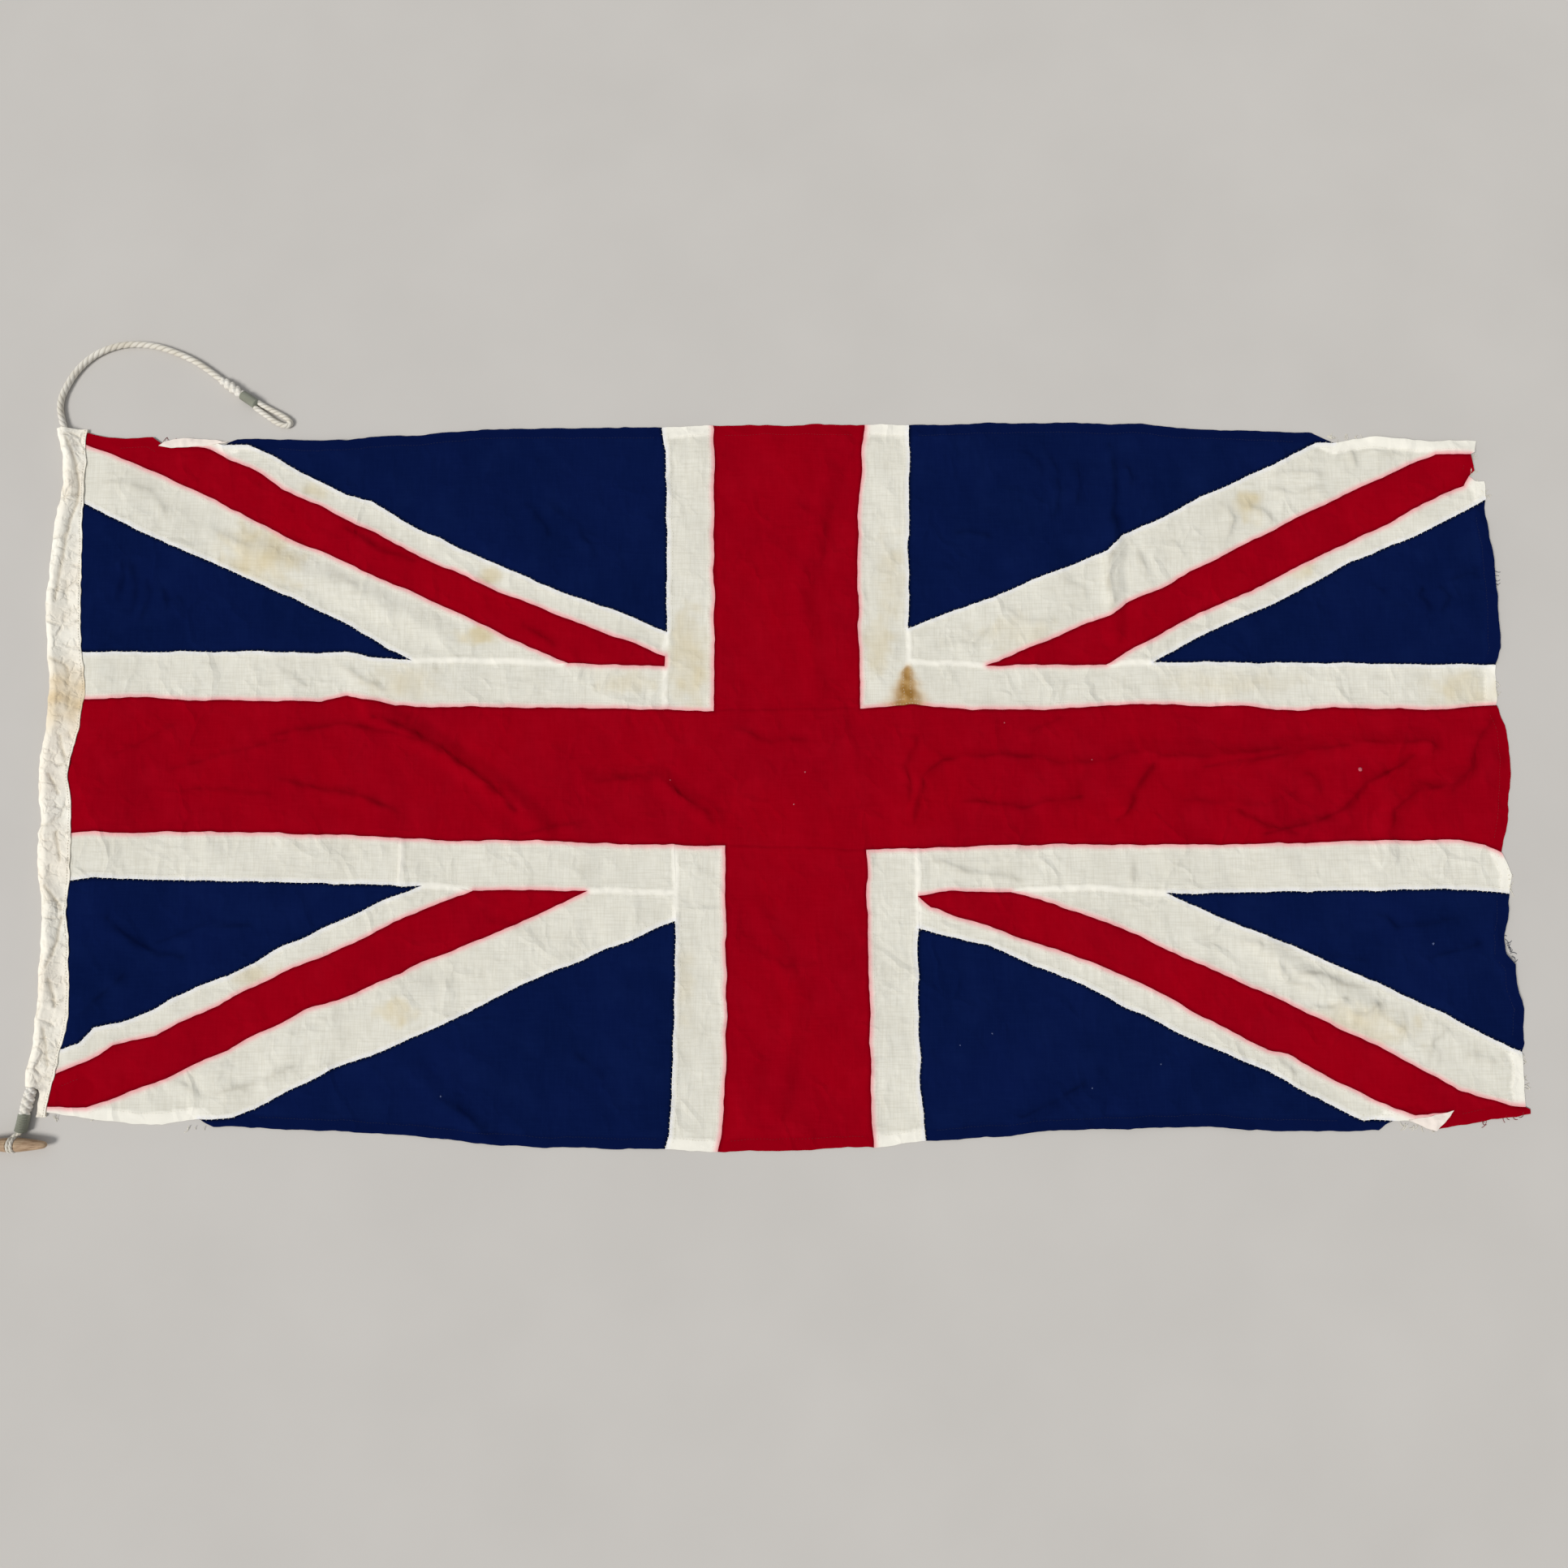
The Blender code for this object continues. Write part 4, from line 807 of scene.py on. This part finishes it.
def thickened(piece, thick, offset, sharp):
    """Gives a single layer its thickness, shaded smooth up to an angle in degrees."""
    bpy.ops.object.select_all(action="DESELECT")
    piece.select_set(True)
    bpy.context.view_layer.objects.active = piece
    wall = piece.modifiers.new("wall", "SOLIDIFY")
    wall.thickness = thick * MM
    wall.offset = offset
    bpy.ops.object.modifier_apply(modifier="wall")
    bpy.ops.object.shade_smooth_by_angle(angle=math.radians(sharp))


for node, slot in bunting.items():
    places, corners = rims[node]
    plan, faces = meshed(cut_lines[node], places, GRID, ROWS)
    x, y = plan.T
    height = laid_height(x, y, node)
    moved_x, moved_y = wander(x, y)
    cloth = new_piece(node + "_bunting", np.stack([moved_x, moved_y, height], axis=1), faces)
    share = 1.0 if slot == "bunting_white" else 0.0
    amounts = {name: share * amount for name, amount in zip(("tan", "rust"), stained(x, y))}
    amounts.update(shaded_edges(x, y, node))
    # Painted shade along the creases, a little to their shaded side
    amounts["soil"] = soiled_folds(x, y)
    marked(cloth, amounts)
    thickened(cloth, CLOTH_THICK, -1, 55)
    dress(cloth, bunting_finishes[slot], slot, node)
    width, length, area = flat_size(cut_lines[node])

# The stitching: lockstitch along both edges of each felled seam and in one row inside each
# hem, in thread of the cloth's own colour, and slanting overcast stitches in white thread over
# the edges that meet blue. Each stitch is a small spindle that lies on the cloth.
STITCH_PITCH = 3.8
STITCH_HALF = (1.3, 0.26, 0.24)
OVERCAST_PITCH = 6.5
OVERCAST_HALF = (2.3, 0.62, 0.42)


def stitch_spots(node, edges, inset, pitch=STITCH_PITCH):
    """Middles and directions of stitches beside some edges of a piece, clear of its corners."""
    middles, ways = [], []
    for (ax, ay), (bx, by) in edges:
        length = math.hypot(bx - ax, by - ay)
        way = ((bx - ax) / length, (by - ay) / length)
        count = round(length / pitch)
        for number in range(count):
            along = (number + 0.5) * length / count
            middles.append((ax + way[0] * along - way[1] * inset,
                            ay + way[1] * along + way[0] * inset))
            ways.append(way)
    middles, ways = np.array(middles), np.array(ways)
    if not len(middles):
        return middles.reshape(0, 2), ways.reshape(0, 2)
    line = cut_lines[node]
    clear = (away(*middles.T, edges_round(line)) > inset - 0.3) & inside(*middles.T, line)
    return middles[clear], ways[clear]


def spindles(name, middles, ways, heights, half):
    """Many small eight-sided spindles as one piece: one lies along its way at each middle."""
    moved = np.stack(wander(*middles.T), axis=1)
    centre = np.column_stack([moved, heights])
    along = np.column_stack([ways, np.zeros(len(ways))]) * half[0]
    side = np.column_stack([-ways[:, 1], ways[:, 0], np.zeros(len(ways))]) * half[1]
    up = np.array([0, 0, half[2]])
    corners = np.stack([centre + along, centre + side, centre - along, centre - side,
                        centre + up, centre - up], axis=1).reshape(-1, 3)
    pattern = np.array([(0, 1, 4), (1, 2, 4), (2, 3, 4), (3, 0, 4),
                        (1, 0, 5), (2, 1, 5), (3, 2, 5), (0, 3, 5)])
    faces = (pattern[None] + 6 * np.arange(len(middles))[:, None, None]).reshape(-1, 3)
    return new_piece(name, corners, faces.tolist())


def sewn(name, rows, thread, slot, half=STITCH_HALF):
    """Rows of stitches, each its middles, ways and heights, as one dressed piece."""
    middles, ways, heights = (np.concatenate([row[which] for row in rows]) for which in range(3))
    dress(spindles(name, middles, ways, heights, half), thread, slot)


def thread_finish(name, pale, dark):
    """Sewing thread, with the slight change of tone of each stitch."""
    finish, shader = matt_finish(name, 0.8, 0.1)
    tone = blend(finish, between(finish, cloud(finish, 300, 2), 0.35, 0.65), tint(pale),
                 tint(dark))
    return surfaced(finish, shader, tone)


rows_of_stitches = {slot: [] for slot in bunting_finishes}
for node, slot in bunting.items():
    runs = seams[node]
    wanted = [(runs.get("edge", []), HEM_WIDTH - 2)]
    if slot == "bunting_white":
        coloured = runs.get("bunting_red", []) + runs.get("bunting_blue", [])
        wanted += [(coloured, 1.5), (coloured, SEAM_WIDTH - 1.3)]
        wanted.append((runs.get("bunting_white", []), PLAIN_SEAM_WIDTH + 0.2))
    for edges, inset in wanted:
        if edges:
            middles, ways = stitch_spots(node, edges, inset)
            if len(middles):
                heights = laid_height(*middles.T, node) + 0.08
                rows_of_stitches[slot].append((middles, ways, heights))
overcast = []
for node in [node for node, slot in bunting.items() if slot == "bunting_white"]:
    runs = seams[node]
    middles, ways = stitch_spots(node, runs.get("bunting_blue", []), 0.45, OVERCAST_PITCH)
    if len(middles):
        heights = laid_height(*middles.T, node) - 0.12
        leaning = np.column_stack([-0.9 * ways[:, 1] + 0.43 * ways[:, 0],
                                   0.9 * ways[:, 0] + 0.43 * ways[:, 1]])
        overcast.append((middles, leaning, heights))
thread_finishes = {"bunting_red": thread_finish("red_thread", "8E0A1A", "7C0512"),
                   "bunting_blue": thread_finish("blue_thread", "101C46", "0A1434"),
                   "bunting_white": thread_finish("white_thread", "EDE8D9", "D6D0BE")}
for slot, rows in rows_of_stitches.items():
    sewn(slot + "_stitching", rows, thread_finishes[slot], slot)
sewn("overcast_stitching", overcast, thread_finishes["bunting_white"], "bunting_white",
     OVERCAST_HALF)

# The heading: one strip of stout canvas folded round the rope and sewn down on both faces of
# the hoist edge. The rope stands in it as a ridge; beside the ridge the canvas is drawn into
# long soft pleats, and beside the cross it is stained a yellowish tan.
CANVAS_THICK = 1.0
SLEEVE_ARC = range(53, 271, 14)
# Each station of the heading: y, then x of its outer edge, of the rope and of its sewn edge
HEADING = [(457, -933, -924, -897), (440, -929, -920, -897), (420, -924, -915, -896),
           (395, -922, -913, -896), (365, -924, -914, -896), (335, -928, -918, -896),
           (300, -930, -921, -895), (270, -932, -924, -893), (240, -933, -925, -892),
           (205, -933, -925, -890), (170, -928, -920, -887), (145, -925, -916, -883),
           (120, -923, -913, -880), (95, -924, -913, -882), (70, -924, -914, -884),
           (45, -928, -919, -890), (20, -930, -921, -895), (-5, -928, -919, -892),
           (-35, -924, -915, -889), (-65, -924, -915, -887), (-100, -924, -914, -886),
           (-130, -919, -910, -886), (-160, -915, -906, -886), (-200, -914, -905, -882),
           (-240, -914, -905, -879), (-280, -914, -906, -877), (-310, -916, -908, -880),
           (-340, -921, -912, -886), (-370, -923, -915, -893), (-388, -923, -917, -896),
           (-407, -921, -917, -897)]
PLEATS = [[(-920, 447), (-912, 430), (-906, 410), (-902, 390), (-903, 360), (-911, 330),
           (-916, 276), (-920, 234)], [(-920, 158), (-903, 148), (-900, 125)],
          [(-897, 115), (-898, 95)], [(-916, 10), (-905, -12)], [(-910, -128), (-891, -157)],
          [(-890, -165), (-897, -200), (-903, -225)], [(-900, -240), (-892, -275)],
          [(-905, 60), (-900, 30)], [(-903, -60), (-898, -95)], [(-903, -300), (-897, -345)]]
PLEAT_RISE, PLEAT_DIP = 1.0, 1.1
STAIN_MIDDLE, STAIN_REACH = 108, 66
FLAP_HEIGHT, FLAP_RISE = 3.35, 6.2
LOWER_FLAP_HEIGHT = 0.6
SLEEVE_RADIUS = 5.1
SLEEVE_HEIGHT = 5.7
SLEEVE_END = -371
SLEEVE_REACH, OPEN_REACH = 3.6, 9.2
FLAP_POINTS = 16
LOWER_POINTS = 5


def heading_section(station_y, outer, rope, inner):
    """Across the heading: upper flap from its sewn edge, round the rope, and lower flap."""
    slack = max(0.0, rope - outer - SLEEVE_RADIUS - 0.6)
    closed = soft(1 + (station_y - SLEEVE_END) / 12)
    reach = SLEEVE_REACH if station_y > SLEEVE_END else OPEN_REACH
    section = [(inner + share * (rope + reach - inner),
                FLAP_HEIGHT + closed * FLAP_RISE * share ** 2.2)
               for share in np.linspace(0, 1, FLAP_POINTS)]
    for turn in SLEEVE_ARC:
        angle = math.radians(turn)
        bulge = 1 + slack / SLEEVE_RADIUS * max(0.0, -math.cos(angle))
        section.append((rope + SLEEVE_RADIUS * bulge * math.cos(angle),
                        SLEEVE_HEIGHT + SLEEVE_RADIUS * math.sin(angle)))
    section += [(rope + OPEN_REACH + share * (inner - rope - OPEN_REACH), LOWER_FLAP_HEIGHT)
                for share in np.linspace(0, 1, LOWER_POINTS)]
    return section


stations = smooth_line(HEADING, 2.6)
sections = np.array([[(x, station[0], z) for x, z in heading_section(*station)]
                     for station in stations])
shape = sections.shape[:2]
x, y, z = (sections[..., axis].copy() for axis in range(3))
pleat_edges = [edge for line in PLEATS for edge in chained(line)]
above = soft((z - 1.8) / 1.2)


def canvas_puckers(x, y, from_edge):
    """Rise of the heading's upper canvas: it is held flat where it is sewn to the cloth."""
    held = 0.3 + 0.7 * soft(from_edge / 8)
    uneven = 0.24 * ripple(x * 0.5, y, 10, 51) + 0.35 * ripple(x, y, 34, 52)
    uneven += 0.4 * fade(ripple(x * 0.6, y, 17, 57), 0.2)
    pleat = away(x, y, pleat_edges)
    return held * uneven + PLEAT_RISE * fade(pleat, 8) - PLEAT_DIP * fade(pleat, 2.0)


from_edge = sections[:, :1, 0] - x
pull = np.exp(-np.clip(from_edge, 0, 60) / 7) * 0.2 * ripple(x, y, 8, 53)
z += above * (canvas_puckers(x, y, from_edge) + pull)
x += above * 0.5 * ripple(x, y, 26, 54)
moved_x, moved_y = wander(x, y)
flap_gap = range(FLAP_POINTS - 1, shape[1] - LOWER_POINTS)
faces = []
for row in range(shape[0] - 1):
    for column in range(shape[1] - 1):
        if stations[row + 1][0] < SLEEVE_END and column in flap_gap:
            continue
        corner = row * shape[1] + column
        faces.append((corner, corner + shape[1], corner + shape[1] + 1, corner + 1))
heading = new_piece("heading_canvas",
                    np.stack([moved_x.ravel(), moved_y.ravel(), z.ravel()], axis=1), faces)
still_x = sections[..., 0]
grime = soft(1 - np.abs(y - STAIN_MIDDLE) / STAIN_REACH) * (0.8 + 0.3 * ripple(x, y, 30, 55))
# Painted shade along the pleats, a little uneven
soil = 0.9 * fade(away(still_x, y, pleat_edges), 1.9) + 0.1 * ripple(x, y, 60, 56)
marked(heading, {"grime": np.clip(grime, 0, 1).ravel(), "soil": np.clip(soil, 0, 1).ravel()})
work = bmesh.new()
work.from_mesh(heading.data)
bmesh.ops.delete(work, geom=[vert for vert in work.verts if not vert.link_faces],
                 context="VERTS")
bmesh.ops.recalc_face_normals(work, faces=work.faces)
work.to_mesh(heading.data)
work.free()
thickened(heading, CANVAS_THICK, 0, 60)

canvas, canvas_shader = matt_finish("heading_canvas", 0.95, gloss=0.05)
canvas_tone = blend(canvas, between(canvas, cloud(canvas, 14, 5), 0.3, 0.7), tint("FFF6E6"),
                    tint("FFFBEF"))
# The tan stain, and painted shade along the pleats
for attribute, strength, colour in (("grime", 0.75, "DDC08E"), ("soil", 0.45, "A8946F")):
    stain_and_shade = add(canvas, "Attribute", {}, attribute_name=attribute).outputs[2]
    canvas_tone = blend(canvas, times(canvas, stain_and_shade, strength), canvas_tone,
                        tint(colour))
canvas_tone = blend(canvas, between(canvas, cloud(canvas, 420, 3), 0.55, 0.8, 0.0, 0.15),
                    canvas_tone, tint("DDD2BC"))
crumple = sum_of(canvas, wrinkled(canvas, 44, 0.16, 2.3),
                 times(canvas, wrinkled(canvas, 95, 0.22, 6.1), 0.5))
# Painted shade in the crumples of the canvas
canvas_tone = blend(canvas, times(canvas, crumple, 0.2), canvas_tone, tint("B59E76"))
surfaced(canvas, canvas_shader, canvas_tone, (0.8, 0.0016, crumple, True),
         (0.45, 0.0004, weave(canvas, 1000)))
dress(heading, canvas, "canvas", "heading")

EDGE_TO_STITCH = 2.6
HEADING_PITCH = 3.4
HEADING_STITCH_HALF = (1.25, 0.34, 0.4)
middles, ways = [], []
for (y0, _, _, inner0), (y1, _, _, inner1) in chained(HEADING):
    count = round((y0 - y1) / HEADING_PITCH)
    length = math.hypot(inner1 - inner0, y1 - y0)
    for number in range(count):
        share = (number + 0.5) / count
        middles.append((inner0 + share * (inner1 - inner0) - EDGE_TO_STITCH,
                        y0 + share * (y1 - y0)))
        ways.append(((inner1 - inner0) / length, (y1 - y0) / length))
middles, ways = np.array(middles), np.array(ways)
heights = FLAP_HEIGHT + 0.3 + CANVAS_THICK / 2 + canvas_puckers(*middles.T, EDGE_TO_STITCH)
sewn("heading_stitching", [(middles, ways, heights)], thread_finishes["bunting_white"], "canvas",
     HEADING_STITCH_HALF)

# The hoist rope: three-strand fibre rope that runs through the sleeve from the tail line to
# the toggle. It shows only at the two ends of the canvas.
inside_sleeve = [(rope, y, SLEEVE_HEIGHT) for y, _, rope, _ in HEADING if y > SLEEVE_END]
inside_sleeve.append((-915, SLEEVE_END, SLEEVE_HEIGHT))
hoist_rope = twisted("hoist_rope_strands", smooth_line(inside_sleeve, 3.0), radius=4.5,
                     lay=28.0, sides=18)
dress(hoist_rope, rope_finish, "rope", "hoist_rope")

# The toggle's end of the rope: strands tucked back as a short thick splice, a serving of
# twine over its tail, then a neck and two turns of thin rope that grip the toggle's groove.
SPLICE = [(-914, -371.6, 7.2), (-915, -377, 7.2), (-917.5, -388, 7.2), (-920.5, -402.5, 7.1)]
TOGGLE_SERVING = [(-920.6, -403.2, 7.2), (-921.2, -408, 7.2), (-922.4, -415, 7.2),
                  (-924.2, -423.3, 7.2)]
BECKET_NECK = [(-924.3, -423.8, 7.3), (-925.2, -425.6, 7.6), (-928, -427.2, 8.2),
               (-930.2, -428.2, 9.2), (-931, -430, 9.8), (-931, -431.6, 9.9)]
TOGGLE_CENTRE = (-931.0, -438.8, 9.9)
TURN_CIRCLE, TURN_RADIUS, TURN_OFFSET = 7.7, 2.2, 2.1
splice = twisted("splice_strands", smooth_line(SPLICE, 0.9), radius=6.6, lay=27.0, groove=0.36,
                 swell=0.15, sides=36, tucked=True)
dress(splice, tucked_finish, "rope", "toggle_splice")
toggle_serving = twisted("toggle_serving_twine", smooth_line(TOGGLE_SERVING, 0.3), radius=7.1,
                         lay=TWINE_PITCH, strands=1, groove=0.09, sides=20)
dress(toggle_serving, twine_finish, "serving", "toggle_serving")
turns = [twisted("becket_neck", smooth_line(BECKET_NECK, 0.8), radius=2.7, lay=14.0, sides=18)]
for offset in (-TURN_OFFSET, TURN_OFFSET):
    circle = [Vector((TOGGLE_CENTRE[0] + offset, TOGGLE_CENTRE[1] + TURN_CIRCLE * math.cos(angle),
                      TOGGLE_CENTRE[2] + TURN_CIRCLE * math.sin(angle)))
              for angle in np.linspace(0, math.tau + 0.12, 64)]
    turns.append(twisted("becket_turn", circle, TURN_RADIUS, lay=14.0, sides=18, pole=(1, 0, 0)))


def joined(pieces, name):
    """Several objects joined into one, which takes the name."""
    bpy.ops.object.select_all(action="DESELECT")
    for piece in pieces:
        piece.select_set(True)
    bpy.context.view_layer.objects.active = pieces[0]
    bpy.ops.object.join()
    pieces[0].name = pieces[0].data.name = name
    return pieces[0]


becket = joined(turns, "becket_rope")
dress(becket, rope_finish, "rope", "toggle_becket")

# The toggle: a wooden pin turned to a point at both ends, with a groove round its middle for
# the rope. It is old dry wood, greyed and polished by handling.
TOGGLE_HALF = 40.5
TOGGLE_RADIUS = 8.4
# Distance from the middle and radius of each turned ring, the same both ways
TURNING = [(TOGGLE_HALF, 2.3), (38.6, 3.8), (36, 4.5), (32.5, 5.1), (29, 5.8), (24, 6.4),
           (19, 7.05), (14, 7.6), (10, 8.1), (7, 8.35), (5.4, 8.3), (4.8, 7.7), (4.6, 5.6)]
bpy.ops.object.select_all(action="DESELECT")
toggle_middle = place(*TOGGLE_CENTRE)
bpy.ops.mesh.primitive_cylinder_add(vertices=48, radius=TOGGLE_RADIUS * MM,
                                    depth=2 * TOGGLE_HALF * MM, location=toggle_middle,
                                    rotation=(0, math.pi / 2, 0))
toggle = bpy.context.object
toggle.name = toggle.data.name = "toggle_pin"
bpy.ops.object.transform_apply(location=True, rotation=True, scale=True)
bpy.ops.object.mode_set(mode="EDIT")
for along, _ in TURNING[1:]:
    for side in (-1, 1):
        bpy.ops.mesh.select_all(action="SELECT")
        bpy.ops.mesh.bisect(plane_co=toggle_middle + Vector((side * along * MM, 0, 0)),
                            plane_no=(1, 0, 0))
for along, radius in TURNING:
    for side in (-1, 1):
        ring = toggle_middle + Vector((side * along * MM, 0, 0))
        bpy.ops.mesh.select_all(action="DESELECT")
        shaping = bmesh.from_edit_mesh(toggle.data)
        for vert in shaping.verts:
            vert.select = abs(vert.co.x - ring.x) < 1e-5
        shaping.select_flush_mode()
        bmesh.update_edit_mesh(toggle.data)
        share = radius / TOGGLE_RADIUS
        bpy.ops.transform.resize(value=(1, share, share), center_override=ring)
bpy.ops.object.mode_set(mode="OBJECT")
bpy.ops.object.shade_smooth_by_angle(angle=math.radians(40))

wood, wood_shader = matt_finish("old_toggle_wood", 0.55)
grain = cloud(wood, 40, 8, stretch=(1, 14, 14))
fine_grain = cloud(wood, 160, 6, stretch=(1, 22, 22), shift=1.7)
wood_tone = blend(wood, between(wood, grain, 0.35, 0.68), tint("C2A587"), tint("93755A"))
wood_tone = blend(wood, between(wood, fine_grain, 0.5, 0.75, 0.0, 0.6), wood_tone,
                  tint("6A4E39"))
wood_tone = blend(wood, between(wood, cloud(wood, 60, 3, shift=5.0), 0.55, 0.75, 0.0, 0.4),
                  wood_tone, tint("D0BE9C"))
surfaced(wood, wood_shader, wood_tone, (0.5, 0.0004, fine_grain))
dress(toggle, wood, "toggle_wood", "toggle")

# The torn hem: at the far edge near the hoist, and at the near edge by the fly, a tip of
# white hem has come loose and lies folded over on the red cloth.
HEM_TIPS = {"far_hem_tip": ([(-804, 436), (-788, 434), (-760, 435.5), (-738, 436), (-716, 441),
                             (-736, 444.5), (-762, 447), (-782, 446), (-798, 441)],
                            "red_slant_far_left"),
            "near_hem_tip": ([(778, -419), (792, -424), (806, -411), (816, -400), (800, -403),
                              (780, -407), (758, -410)], "red_slant_near_right")}
TIP_GRID = 2.5
TIP_LIFT = 0.9
for name, (line, node) in HEM_TIPS.items():
    plan, faces = meshed(line, walked_round(line, TIP_GRID)[0], TIP_GRID, (), creases=False)
    x, y = plan.T
    rim = away(x, y, edges_round(line))
    height = laid_height(x, y, node) + TIP_LIFT + 0.9 * soft(rim / 6) + 0.3 * ripple(x, y, 12, 61)
    moved_x, moved_y = wander(x, y)
    tip = new_piece(name, np.stack([moved_x, moved_y, height], axis=1), faces)
    marked(tip, {"band": np.full(len(x), 1.0), "edge": np.full(len(x), 0.15)})
    thickened(tip, CLOTH_THICK, -1, 55)
    dress(tip, bunting_finishes["bunting_white"], "bunting_white")

# Wear: flecks of pale lint on the red and blue cloth, and short ends of thread that have
# worked loose where the fly and the corners are frayed.
LINT_SIDES = 9
THREAD_LENGTHS, THREAD_STEPS, THREAD_RADIUS = (4, 11), 6, 0.3
# Colour of the lint on each cloth, and x, y and radius of each fleck
FLECKS = {"bunting_red": ("C05A66", [(720, 18, 2.9), (-142, 4, 0.9), (27, 15, 1.0),
                                    (12, -26, 1.0), (385, 30, 0.9), (277, 77, 0.9)]),
          "bunting_blue": ("4E5C86", [(256, -307, 1.1), (461, -344, 0.9), (375, -373, 0.9),
                                      (215, -321, 0.9), (-417, -382, 1.1), (800, -197, 1.5)])}


def piece_under(x, y):
    """The cut piece that lies at a plan point."""
    for node, line in cut_lines.items():
        if inside(np.array([float(x)]), np.array([float(y)]), line)[0]:
            return node
    return None


draw = np.random.default_rng(71)
for slot, (colour, flecks) in FLECKS.items():
    lint, lint_faces = [], []
    for x, y, radius in flecks:
        height = laid_height(np.array([float(x)]), np.array([float(y)]), piece_under(x, y))[0]
        first = len(lint)
        for ring, lift in ((1.0, 0.05), (0.6, 0.4)):
            for number in range(LINT_SIDES):
                angle = math.tau * number / LINT_SIDES
                size = radius * ring * (1 + 0.22 * draw.uniform(-1, 1))
                lint.append((x + size * math.cos(angle), y + size * math.sin(angle),
                             height + lift))
        lint += [(x, y, height + 0.5), (x, y, height - 0.2)]
        for number in range(LINT_SIDES):
            after = (number + 1) % LINT_SIDES
            low, high = first, first + LINT_SIDES
            lint_faces.append((low + number, low + after, high + after, high + number))
            lint_faces.append((high + number, high + after, first + 2 * LINT_SIDES))
            lint_faces.append((low + after, low + number, first + 2 * LINT_SIDES + 1))
    moved = wander(*np.array(lint)[:, :2].T)
    fleck = new_piece(slot + "_lint", np.column_stack([*moved, np.array(lint)[:, 2]]),
                      lint_faces)
    fleck.data.polygons.foreach_set("use_smooth", [True] * len(lint_faces))
    dress(fleck, thread_finish(slot + "_lint", colour, colour), slot)

# Each frayed stretch: its two ends, the number of loose threads and their colour
FRAYED = [((884, 426), (880, 396), 14, "white"), ((886, 388), (899, 368), 8, "white"),
          ((896, 101), (896, 152), 9, "white"), ((887, -186), (899, -222), 12, "blue"),
          ((902, 230), (903, 275), 6, "blue"), ((703, 446), (731, 446), 8, "white"),
          ((708, 441), (748, 448), 6, "white"), ((740, -412), (792, -424), 10, "white"),
          ((845, -413), (908, -402), 10, "red"), ((902, -395), (903, -330), 8, "white"),
          ((-800, 439), (-781, 444), 5, "red"), ((-756, -417), (-693, -419), 4, "white"),
          ((-905, -404), (-832, -411), 4, "white"), ((897, -96), (899, -137), 7, "white")]
ends = {"white": [], "blue": [], "red": []}
draw = np.random.default_rng(72)
for (ax, ay), (bx, by), count, colour in FRAYED:
    for _ in range(count):
        share, length = draw.uniform(0, 1), draw.uniform(*THREAD_LENGTHS)
        bearing = draw.uniform(-0.9, 0.9) + math.atan2(ax - bx, by - ay)
        x, y = ax + share * (bx - ax), ay + share * (by - ay)
        if x * math.cos(bearing) + y * math.sin(bearing) < 0:
            bearing += math.pi
        bend = draw.uniform(-0.5, 0.5)
        line = []
        for step in range(THREAD_STEPS):
            line.append(Vector((x, y, max(0.5, 2.4 - 0.5 * step))))
            x += length / (THREAD_STEPS - 1) * math.cos(bearing + bend * step)
            y += length / (THREAD_STEPS - 1) * math.sin(bearing + bend * step)
        ends[colour].append(twisted("thread_end", line, THREAD_RADIUS, lay=4.0, strands=2,
                                    groove=0.1, sides=5))
for colour, threads in ends.items():
    slot = "bunting_" + colour
    dress(joined(threads, colour + "_thread_ends"), thread_finishes[slot], slot)
